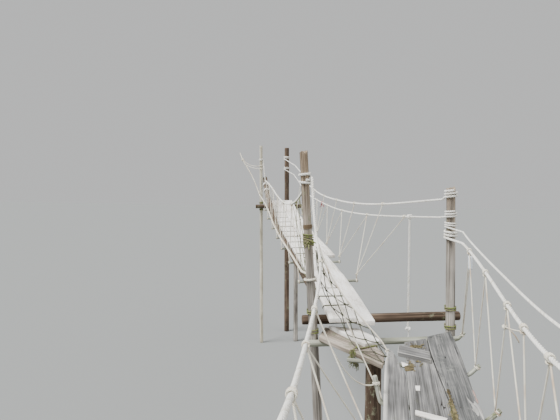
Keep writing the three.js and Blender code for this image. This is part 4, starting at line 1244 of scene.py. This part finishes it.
def far_left_lacing(cord, thick):
    """Left lacing, with thin hangers between the edge rope and the handrail near the far end."""
    line = smooth(on_far(B_LEFT))
    ties = [station(line, n, thick) for n in (3, 4, 5, 6, 7, 8)]
    places = []
    for i, tip in enumerate(far_tips(True)):
        places.append(tip)
        places += ties[i:i + 1]
    piece = Piece(10)
    lace(piece, places, chain(len(places)), cord, knots=range(1, len(places), 2))
    edge = smooth(on_far(B_EDGE))[:ROPE_STEPS * 7]
    clear = up(thick)
    hanger = cord * 0.7
    for along in (2.2, 2.9, 3.5, 4.0, 4.45, 4.9, 5.3, 5.7, 6.1):
        top, low = nearest_along(line, along), nearest_along(edge, along + 0.12)
        piece.cord(leg_line(top - clear, low + clear, 0.01), hanger, sides=5)
        piece.coil(low, ALONG_FAR, thick, hanger, 2.0)
    piece.make("lacing_far_left", "cream_cord", "b_lacing_left")


def far_right_lacing(cord):
    """Right lacing: from each joint above a tip to the handrail and twice to the rope below it."""
    right, lower = smooth(on_far(B_RIGHT)), smooth(on_far(B_LOWER))
    uppers = [station(right, n, FAR_RIGHT_ROPE) for n in range(1, 8)]
    lowers = [station(lower, n, FAR_LOWER_ROPE) for n in range(1, 8)]
    piece = Piece(11)
    for i, tip in enumerate(far_tips(False)):
        piece.coil(*tip, cord, 2.0)
        joint = tip[0] + up(0.075)
        piece.cord(leg_line(side_of(tip, joint, cord), joint), cord)
        piece.knot(joint, (0, 0, 1), cord * 3.4, cord)
        for place in [uppers[i]] + lowers[i:i + 2]:
            piece.cord(leg_line(joint, side_of(place, joint, cord), 0.004), cord)
    for place in uppers + lowers:
        piece.coil(*place, cord, 3.0)
    piece.make("lacing_far_right", "cream_cord", "b_lacing_right")


class BRIDGE_OT_far_lacing(bpy.types.Operator):
    """Lacing of the far span; three cords meet above each right bearer tip"""

    bl_idname = "footbridge.far_lacing"
    bl_label = "Far lacing"

    def execute(self, context):
        ropes = context.scene.footbridge_rope
        far_left_lacing(ropes.lacing, ropes.handrail)
        far_right_lacing(ropes.lacing)
        return {"FINISHED"}


def spread(points, count):
    """Points spread evenly along a line."""
    step = lengths_along(points)[-1] / (count - 1)
    return resample(points, step * 0.999999)[:count]


def net_cords(piece, upper, lower, cord):
    """Cords that cross between two lines, each crossing tied."""
    last = len(upper) - 1
    jitter = {}

    def node(i, j):
        if (i, j) not in jitter:
            loose = NET_SLACK if 0 < j < NET_ROWS else 0.0
            jitter[i, j] = upper[i].lerp(lower[i], j / NET_ROWS) + Vector(
                [piece.random.uniform(-loose, loose) for _ in range(3)])
        return jitter[i, j]

    crossings = set()
    for start in range(-NET_ROWS, last + 1, 2):
        for rising in (False, True):
            steps = [j for j in range(NET_ROWS + 1) if 0 <= start + j <= last]
            keys = [(start + j, NET_ROWS - j if rising else j) for j in steps]
            if len(keys) < 2:
                continue
            line = []
            for a, b in zip(keys, keys[1:]):
                line += leg_line(node(*a), node(*b), piece.random.uniform(0.001, 0.006), 4)[:-1]
            line.append(node(*keys[-1]))
            piece.sweep(line, cord, 5)
            crossings.update(key for key in keys if 0 < key[1] < NET_ROWS)
    for key in sorted(crossings):
        piece.knot(node(*key), (0.3, 0.2, 1.0), cord * 2.6, cord * 0.9, sides=4, steps=16)


def near_net(cord):
    """Net between the post, the side plank and the near span, with its border and the border's hitch."""
    top, low = smooth(NET_TOP), [Vector(point) for point in NET_LOW]
    columns = 11
    border = Piece(24)
    border.cord(top, NET_BORDER, step=0.015)
    border.knot(top[-1], (1, -1, 0.3), 0.016, 0.006)
    border.make("net_border_near", "cream_cord", slot="mossy_rope")
    hitch = Piece(27)
    turns = wrap_post(MID_LEFT, NET_BORDER, NET_TOP[0], 3.300, 2.2, -1, 0.020)
    hitch.cord([*reversed(turns), top[0]], NET_BORDER, step=0.015)
    hitch.make("net_hitch_near", "mossy_cord", slot="mossy_rope")
    piece = Piece(12)
    upper, lower = spread(top, columns), spread(low, columns)
    piece.cord(lower, NET_EDGE)
    net_cords(piece, upper, lower, cord)
    piece.make("net_near_left", "dark_cord", "a_net_left")


def far_net(cord):
    """Net from the far left handrail down to the side log."""
    rail = smooth(on_far(B_LEFT))
    log_points, _ = side_log_line()
    upper, lower = [], []
    for i in range(9):
        along = 0.44 + i * 0.14
        upper.append(nearest_along(rail, along) + up(-0.016))
        on_log = nearest_along(log_points, max(along, 0.562))
        lower.append(far_span(along, -0.320, on_log.z + 0.040))
    piece = Piece(13)
    piece.cord(upper, NET_EDGE)
    piece.cord(lower, NET_EDGE)
    net_cords(piece, upper, lower, cord)
    piece.make("net_far_left", "mossy_cord", "b_net_left")


class BRIDGE_OT_nets(bpy.types.Operator):
    """Mossy nets beside the middle left post"""

    bl_idname = "footbridge.nets"
    bl_label = "Nets"

    def execute(self, context):
        cord = context.scene.footbridge_rope.net
        near_net(cord * 1.3)
        far_net(cord)
        return {"FINISHED"}


# Direction of the middle left post, upward
MID_LEFT_LEAN = (-0.058, 0, 1)


def turns_at(post, z):
    """Centre, axis and radius of level turns round a post."""
    centre, radius = post_at(post, z)
    return centre, (0, 0, 1), radius


def plank_loop():
    """Loop round the side plank, slack below it, hung with tufts of moss."""
    corner, inward = Vector((-0.180, 4.348, 0.0)), Vector((0.677, 0.736, 0.0))
    sideways = Vector((-0.736, 0.677, 0.0))
    top, bottom, back = PLANK_BOTTOM + 0.044, PLANK_BOTTOM, 0.246
    # In from the front edge, along it, height
    loop = (
        (-0.0105, 0.012, top - 0.006), (-0.0085, 0.012, top + 0.008), (0.003, 0.012, top + 0.0096),
        (0.044, 0.009, top + 0.029), (0.088, 0.002, top + 0.0086), (back - 0.003, -0.020, top + 0.0086),
        (back + 0.0085, -0.022, top + 0.008), (back + 0.0105, -0.022, top - 0.006),
        (back + 0.0105, -0.022, bottom + 0.004), (back + 0.007, -0.022, bottom - 0.010),
        (back - 0.020, -0.020, bottom - 0.018), (0.180, -0.009, bottom - 0.034),
        (0.110, 0.001, bottom - 0.054), (0.030, 0.009, bottom - 0.068), (-0.006, 0.012, bottom - 0.050),
        (-0.012, 0.012, bottom - 0.006),
    )
    piece = Piece(14)
    path = [corner + inward * n + sideways * d + up(z) for n, d, z in loop]
    piece.sweep(path, 0.0078, 8, closed=True)
    draw = piece.random
    front = (path[-2], path[-1], path[0], path[1], path[-3])
    for _ in range(110):
        at = draw.choice(front) + Vector([draw.gauss(0, 0.013) for _ in range(3)])
        lean = (draw.uniform(-1, 1), draw.uniform(-1, 1), draw.uniform(-1.4, 0.4))
        piece.tail(at, lean, draw.uniform(0.012, 0.034), 0.0024, curl=0.8)
    piece.make("lashing_side_plank", "mossy_cord", "mid_plank_lashing")


def post_lashings():
    """Mossy turns and a knot on the middle left post, and turns where logs and sills lie on posts."""
    piece = Piece(15)
    rope = 0.0075
    for z in (3.248, 3.266, 3.283):
        centre, radius = post_at(MID_LEFT, z)
        piece.coil(centre, MID_LEFT_LEAN, radius, rope, 1.6, steps=20)
        if z == 3.266:
            front = Vector((0, -1, 0))
            at = centre + front * (radius + rope * 2.2)
            piece.knot(at, MID_LEFT_LEAN, rope * 3, rope * 0.9)
            piece.tail(at, front + Vector((0.4, 0, -0.6)), 0.07, rope * 0.8)
            piece.tail(at, front + Vector((-0.5, 0, -0.8)), 0.05, rope * 0.8)
    for node, posts in (
            ("near_sill", (NEAR_LEFT, NEAR_RIGHT)),
            ("far_sill", (FAR_POSTS["far_post_left"], FAR_POSTS["far_leg_right"]))):
        z = solid_box(node)[2].z
        for post in posts:
            for rise in (-0.075, 0.075):
                piece.coil(*turns_at(post, z + rise), LASHING, 3.0, steps=20)
    for z in (2.405, 2.430, 2.590, 2.612):
        for post in (MID_LEFT, MID_RIGHT):
            piece.coil(*turns_at(post, z), LASHING, 1.5, steps=20)
    piece.make("lashing_posts", "mossy_cord", slot="mossy_rope")


def twine():
    """Brown twine on the middle left post, with one loose end."""
    piece = Piece(16)
    for i in range(5):
        centre, radius = post_at(MID_LEFT, 3.400 + i * 0.007)
        piece.coil(centre, MID_LEFT_LEAN, radius, 0.003, 2.0, steps=20)
    piece.tail(centre + Vector((radius, -0.02, 0.0)), (0.6, -0.4, -0.3), 0.08, 0.0025)
    piece.make("twine_post", "brown_twine", slot="mossy_rope")


class BRIDGE_OT_lashings(bpy.types.Operator):
    """Lashings on the posts, sills, side plank and platform logs"""

    bl_idname = "footbridge.lashings"
    bl_label = "Lashings"

    def execute(self, context):
        plank_loop()
        post_lashings()
        twine()
        return {"FINISHED"}


class BRIDGE_OT_nails(bpy.types.Operator):
    """Nail heads where the planks lie on the bearers"""

    bl_idname = "footbridge.nails"
    bl_label = "Nails"

    def execute(self, context):
        head = context.scene.footbridge_timber.nail
        piece = Piece(17)

        def nail(centre):
            out = bmesh.ops.create_cone(
                piece.bm, cap_ends=True, segments=10, radius1=head, radius2=head * 0.7, depth=head * 0.5,
                matrix=Matrix.Translation(centre))
            for vert in out["verts"]:
                vert[piece.grain] = vert.co.copy()

        stray = piece.random.uniform
        sill_y, last_along = 0.095, 6.664
        for node, places in (
                ("a_plank_left", (0.105, 0.215)), ("a_plank_middle", (0.285, 0.470)),
                ("a_plank_right", (0.570, 0.660))):
            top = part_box(node)[1][2] + 0.0008
            for y in (sill_y, *BEARER_ROWS[:5]):
                for x in places:
                    askew = 0.0 if y == sill_y else bearer_skew(x)
                    nail(Vector((x + stray(-0.008, 0.008), y - askew + stray(-0.006, 0.006), top)))
        for along in (*FAR_BEARER_ALONG, last_along):
            for offset in (-0.235, -0.045, 0.035, 0.125 if along < 2.3 else 0.225):
                nail(far_span(along + stray(-0.008, 0.008), offset, far_deck(along) + 0.001))
        piece.make("nails", "nail_zinc", slot="bearer_pole")
        return {"FINISHED"}


def strip(piece, corners, bottom, top):
    """Small flat board from its corners in plan; bottom and top are heights above the near deck."""
    bm = piece.bm
    verts = [bm.verts.new((x, y, DECK_TOP + bottom)) for x, y in corners]
    face = bm.faces.new(verts)
    out = bmesh.ops.extrude_face_region(bm, geom=[face])["geom"]
    raised = [part for part in out if isinstance(part, bmesh.types.BMVert)]
    bmesh.ops.translate(bm, verts=raised, vec=(0, 0, top - bottom))
    edges = list({edge for vert in verts + raised for edge in vert.link_edges})
    out = bmesh.ops.bevel(
        bm, geom=edges, offset=STRIP_ARRIS, segments=2, profile=0.5, affect="EDGES", material=-1)
    for vert in {vert for part in out["faces"] for vert in part.verts} | set(
            vert for vert in verts + raised if vert.is_valid):
        vert[piece.grain] = Vector((vert.co.y, vert.co.x, vert.co.z))


def leaf(piece, centre, length):
    """Curled leaf of a few faces."""
    out = bmesh.ops.create_grid(piece.bm, x_segments=3, y_segments=2, size=length)
    turn = Matrix.Rotation(piece.random.uniform(0, math.tau), 4, "Z")
    tilt = Matrix.Rotation(piece.random.uniform(-0.3, 0.3), 4, "X")
    curl = piece.random.uniform(0.2, 0.6)
    for vert in out["verts"]:
        share = vert.co.x / length
        vert.co.y *= 0.45 * (1.05 - share * share)
        vert.co.z = curl * length * share * share * 0.5
        vert.co = Matrix.Translation(centre) @ turn @ tilt @ vert.co
        vert[piece.grain] = vert.co.copy()


def ribbon(piece, line, half, seed):
    """Limp strip along a line; half is its half width, up and down."""
    bm = piece.bm
    before = None
    for i, point in enumerate(line):
        flutter = up(half) + ACROSS_FAR * 0.006 * math.sin(i * 1.2 + seed)
        pair = (bm.verts.new(point - flutter), bm.verts.new(point + flutter))
        if before:
            bm.faces.new((before[0], pair[0], pair[1], before[1]))
        before = pair


def cleats():
    """Pale cleat and two pale patches nailed across the near planks."""
    piece = Piece(18)
    strip(piece, ((0.277, 3.330), (0.451, 3.266), (0.470, 3.322), (0.281, 3.386)), -0.0075, 0.0030)
    strip(piece, ((0.300, 3.688), (0.328, 3.690), (0.333, 3.770), (0.298, 3.764)), -0.0070, -0.0015)
    strip(piece, ((0.219, 4.106), (0.253, 4.112), (0.266, 4.173), (0.211, 4.200)), -0.0075, -0.0035)
    piece.make("cleats", "bleached_softwood", slot="pale_board")


def cross_cords():
    """Thin dark cords across the left boards of the far span."""
    piece = Piece(19)
    for along in (0.407, 0.621, 0.851, 2.39, 2.783, 3.192, 3.631, 4.077, 4.521, 4.932, 5.35, 5.78):
        z = far_deck(along) + 0.004
        skew = piece.random.uniform(-0.02, 0.02)
        line = [
            far_span(along + skew * offset / 0.27, offset, z + piece.random.uniform(-0.0008, 0.0008))
            for offset in (-0.272, -0.20, -0.14, -0.07, -0.012)]
        line.insert(0, line[0] + Vector((-0.006, 0, -0.030)))
        piece.cord(line, 0.0062 if along < 1.0 else 0.0044, step=0.02)
    piece.make("cross_cords", "dark_cord", slot="mossy_rope")


def sleeve():
    """Sleeve on the cords at the last knot of the right handrail."""
    piece = Piece(20)
    tie = Vector(A_RIGHT[7])
    line = leg_line(tie + Vector((0.010, 0.004, -0.045)), tie + Vector((0.014, 0.008, -0.165)), 0.0, 6)
    piece.sweep(line, 0.0175, 14)
    piece.make("sleeve", "pale_plastic", slot="white_rope")


def tape():
    """Tape tied to the lower far rope."""
    piece = Piece(21)
    tied = smooth(on_far(B_LOWER))[ROPE_STEPS * 4 + 6]
    for n in range(3):
        turn = 0.4 + n * 0.9
        end = tied + Vector((0.05 * math.cos(turn * 2), 0.04 * math.sin(turn), -0.07 - 0.02 * n))
        ribbon(piece, leg_line(tied, end, 0.012, 8), 0.011, n)
    bmesh.ops.solidify(piece.bm, geom=piece.bm.faces[:], thickness=0.0012)
    piece.coil(tied, ALONG_FAR, FAR_LOWER_ROPE, 0.004, 2.5)
    piece.make("tape", "flag_tape", slot="white_rope")


def hanging_rope():
    """Rope that hangs from the lower far rope by the platform, with a knot and a thin tail."""
    piece = Piece(22)
    lower = smooth(on_far(B_LOWER))
    top = lower[10]
    low = Vector((top.x + 0.004, top.y - 0.01, 2.235))
    piece.laid_rope(leg_line(top, low, 0.0, 20), 0.0115)
    piece.coil(top, lower[11] - lower[9], FAR_LOWER_ROPE, 0.009, 2.0)
    piece.knot(low, (0, 0, 1), 0.021, 0.012)
    piece.tail(low, (-0.15, 0, -1), 0.12, 0.0055, curl=0.5)
    piece.make("hanging_rope", "white_nylon", slot="white_rope")


def litter():
    """Chips, leaves and crumbs caught on the boards, and a line of mould along the seam."""
    piece = Piece(23)
    draw = piece.random
    strip(piece, ((0.239, 4.016), (0.304, 4.050), (0.305, 4.168), (0.232, 4.103)), -0.0075, -0.0015)
    strip(piece, ((0.290, 4.556), (0.392, 4.566), (0.400, 4.630), (0.296, 4.612)), -0.0075, -0.0045)
    # Two corners, height above the deck and number of leaves; a narrow patch follows the seam
    patches = (
        ((0.226, 4.010), (0.310, 4.170), -0.0050, 12), ((0.270, 4.540), (0.415, 4.650), -0.0040, 22),
        ((0.262, 4.130), (0.380, 4.250), -0.0070, 18), ((0.518, 3.740), (0.523, 3.540), -0.0010, 60),
        ((0.514, 3.560), (0.524, 2.900), -0.0010, 260),
    )
    seam_start = 3.74
    for (x0, y0), (x1, y1), rise, count in patches:
        narrow = abs(x1 - x0) < 0.05
        for _ in range(count):
            share = draw.random()
            y = y0 + (y1 - y0) * share
            x = x0 + (x1 - x0) * (share if narrow else draw.random())
            width = 0.004 + 0.010 * min(1.0, max(0.0, seam_start - y) * 3) if narrow else 0.002
            x += draw.gauss(0, width)
            lying = Vector((x, y, DECK_TOP + rise + draw.uniform(0.001, 0.005)))
            leaf(piece, lying, 0.008 if narrow else 0.014)
    for i in range(12):
        y = 3.71 - i * 0.07
        half_width = 0.004 + 0.018 * min(1.0, (seam_start - y) * 2.4)
        seam_x = 0.5145 + 0.008 * (y - 2.9)
        piece.mound(Vector((seam_x, y, DECK_TOP - 0.0025)), (half_width, 0.055, 0.0045))
    piece.make("litter", "leaf_litter", slot="mossy_rope")


def ridges():
    """Ridges grown round a branch stub by the right edge, low, and pale with wear and painted highlight."""
    piece = Piece(25)
    rows = (
        ((0.628, 3.660), (0.640, 3.590), (0.654, 3.540), (0.668, 3.500)),
        ((0.644, 3.560), (0.656, 3.500), (0.662, 3.440), (0.660, 3.390)),
        ((0.668, 3.600), (0.678, 3.530), (0.682, 3.450), (0.684, 3.330)),
    )
    for seed, (points, thick) in enumerate(zip(rows, (0.007, 0.010, 0.011)), start=61):
        line = smooth([(x, y, DECK_TOP - 0.0015) for x, y in points])
        reach = [0.002 + thick * math.sin(math.pi * i / (len(line) - 1)) for i in range(len(line))]
        piece.sweep(line, reach, 10, shape=rough_bark(seed, 0.35, 0.5))
    piece.mound(Vector((0.671, 3.555, DECK_TOP - 0.0020)), (0.012, 0.030, 0.0110))
    piece.mound(Vector((0.650, 3.470, DECK_TOP - 0.0025)), (0.014, 0.026, 0.0080))
    surface, flattened = DECK_TOP - 0.0005, 0.55
    # The wear colour makes the ridges pale: wear and painted highlight together.
    for vert in piece.bm.verts:
        vert.co.z = surface + (vert.co.z - surface) * flattened
        vert[piece.wear] = 0.35
    piece.make("knots_plank", "grey_softwood", slot="grey_plank")


def bark_strips():
    """Strips of red bark left on the right edge."""
    piece = Piece(26)
    for y, reach in ((3.62, 0.045), (3.72, 0.060), (3.24, 0.050), (3.12, 0.055)):
        piece.mound(Vector((0.688, y, DECK_TOP - 0.0015)), (0.007, reach, 0.0040))
    piece.make("bark_plank", "red_bark", slot="pale_board")


class BRIDGE_OT_small_things(bpy.types.Operator):
    """Cleats, cross cords, a sleeve, a tape, a hanging rope, litter, and ridges and bark by the right edge"""

    bl_idname = "footbridge.small_things"
    bl_label = "Small things"

    def execute(self, context):
        for build in (cleats, cross_cords, sleeve, tape, hanging_rope, litter, ridges, bark_strips):
            build()
        return {"FINISHED"}


class BRIDGE_OT_stage(bpy.types.Operator):
    """Floor, soft light and the camera"""

    bl_idname = "footbridge.stage"
    bl_label = "Stage"

    def execute(self, context):
        settings = context.scene.footbridge_stage
        bm = bmesh.new()
        bmesh.ops.create_grid(bm, x_segments=1, y_segments=1, size=60.0)
        mesh = bpy.data.meshes.new("floor")
        bm.to_mesh(mesh)
        bm.free()
        # Matt painted floor, pale and even
        material, _, shader = new_material("paint_matt_pale")
        shader.inputs["Base Color"].default_value = (*settings.floor, 1.0)
        shader.inputs["Roughness"].default_value = 0.9
        shader.inputs["Specular IOR Level"].default_value = 0.1
        mesh.materials.append(material)
        add_object("floor", mesh)
        world = bpy.data.worlds.new("studio")
        world.use_nodes = True
        background = world.node_tree.nodes["Background"]
        background.inputs["Color"].default_value = linear("#fdfefe")
        background.inputs["Strength"].default_value = settings.sky
        context.scene.world = world
        # Large soft key from the left and above, weak fill from the right
        for name, heading, height, power, spread_angle in (
                ("key", -55, 56, settings.key, 28), ("fill", 75, 40, settings.key * 0.22, 60)):
            light = bpy.data.lights.new(name, "SUN")
            light.energy = power
            light.angle = math.radians(spread_angle)
            lamp = add_object(name, light)
            turn, rise = math.radians(heading), math.radians(height)
            away = Vector((math.sin(turn) * math.cos(rise), -math.cos(turn) * math.cos(rise), math.sin(rise)))
            lamp.location = away * 20
            lamp.rotation_euler = away.to_track_quat("Z", "Y").to_euler()
        camera_data = bpy.data.cameras.new("camera")
        # 480 pixels of focal length over a frame 560 pixels wide
        camera_data.sensor_width = 36.0
        camera_data.lens = 36.0 * 480 / 560
        camera_data.clip_start = 0.05
        camera_data.clip_end = 200.0
        camera = add_object("camera", camera_data)
        camera.location = (0.100, 0.300, 3.900)
        camera.rotation_euler = (math.radians(90 - 4.17), 0.0, math.radians(12.9))
        context.scene.camera = camera
        return {"FINISHED"}


OPERATORS = (
    BRIDGE_OT_stage, BRIDGE_OT_posts, BRIDGE_OT_logs, BRIDGE_OT_boards, BRIDGE_OT_near_ropes,
    BRIDGE_OT_far_ropes, BRIDGE_OT_near_lacing, BRIDGE_OT_far_lacing, BRIDGE_OT_nets, BRIDGE_OT_lashings,
    BRIDGE_OT_nails, BRIDGE_OT_small_things,
)
GROUPS = {"footbridge_timber": TimberProps, "footbridge_rope": RopeProps, "footbridge_stage": StageProps}


class VIEW3D_PT_footbridge(bpy.types.Panel):
    """Sizes, colours and the steps of the footbridge"""

    bl_label = "Footbridge"
    bl_idname = "VIEW3D_PT_footbridge"
    bl_space_type = "VIEW_3D"
    bl_region_type = "UI"
    bl_category = "Footbridge"

    def draw(self, context):
        for name, group in GROUPS.items():
            box = self.layout.box()
            for key in group.__annotations__:
                box.prop(getattr(context.scene, name), key)
        for operator in OPERATORS:
            self.layout.operator(operator.bl_idname)


def register():
    for name, group in GROUPS.items():
        bpy.utils.register_class(group)
        setattr(bpy.types.Scene, name, bpy.props.PointerProperty(type=group))
    for operator in OPERATORS:
        bpy.utils.register_class(operator)
    bpy.utils.register_class(VIEW3D_PT_footbridge)


def unregister():
    bpy.utils.unregister_class(VIEW3D_PT_footbridge)
    for operator in reversed(OPERATORS):
        bpy.utils.unregister_class(operator)
    for name, group in GROUPS.items():
        delattr(bpy.types.Scene, name)
        bpy.utils.unregister_class(group)


def main():
    register()
    for operator in OPERATORS:
        group, name = operator.bl_idname.split(".")
        result = getattr(getattr(bpy.ops, group), name)()
        if result != {"FINISHED"}:
            raise RuntimeError(f"{operator.bl_label} did not finish")


if __name__ == "__main__":
    main()
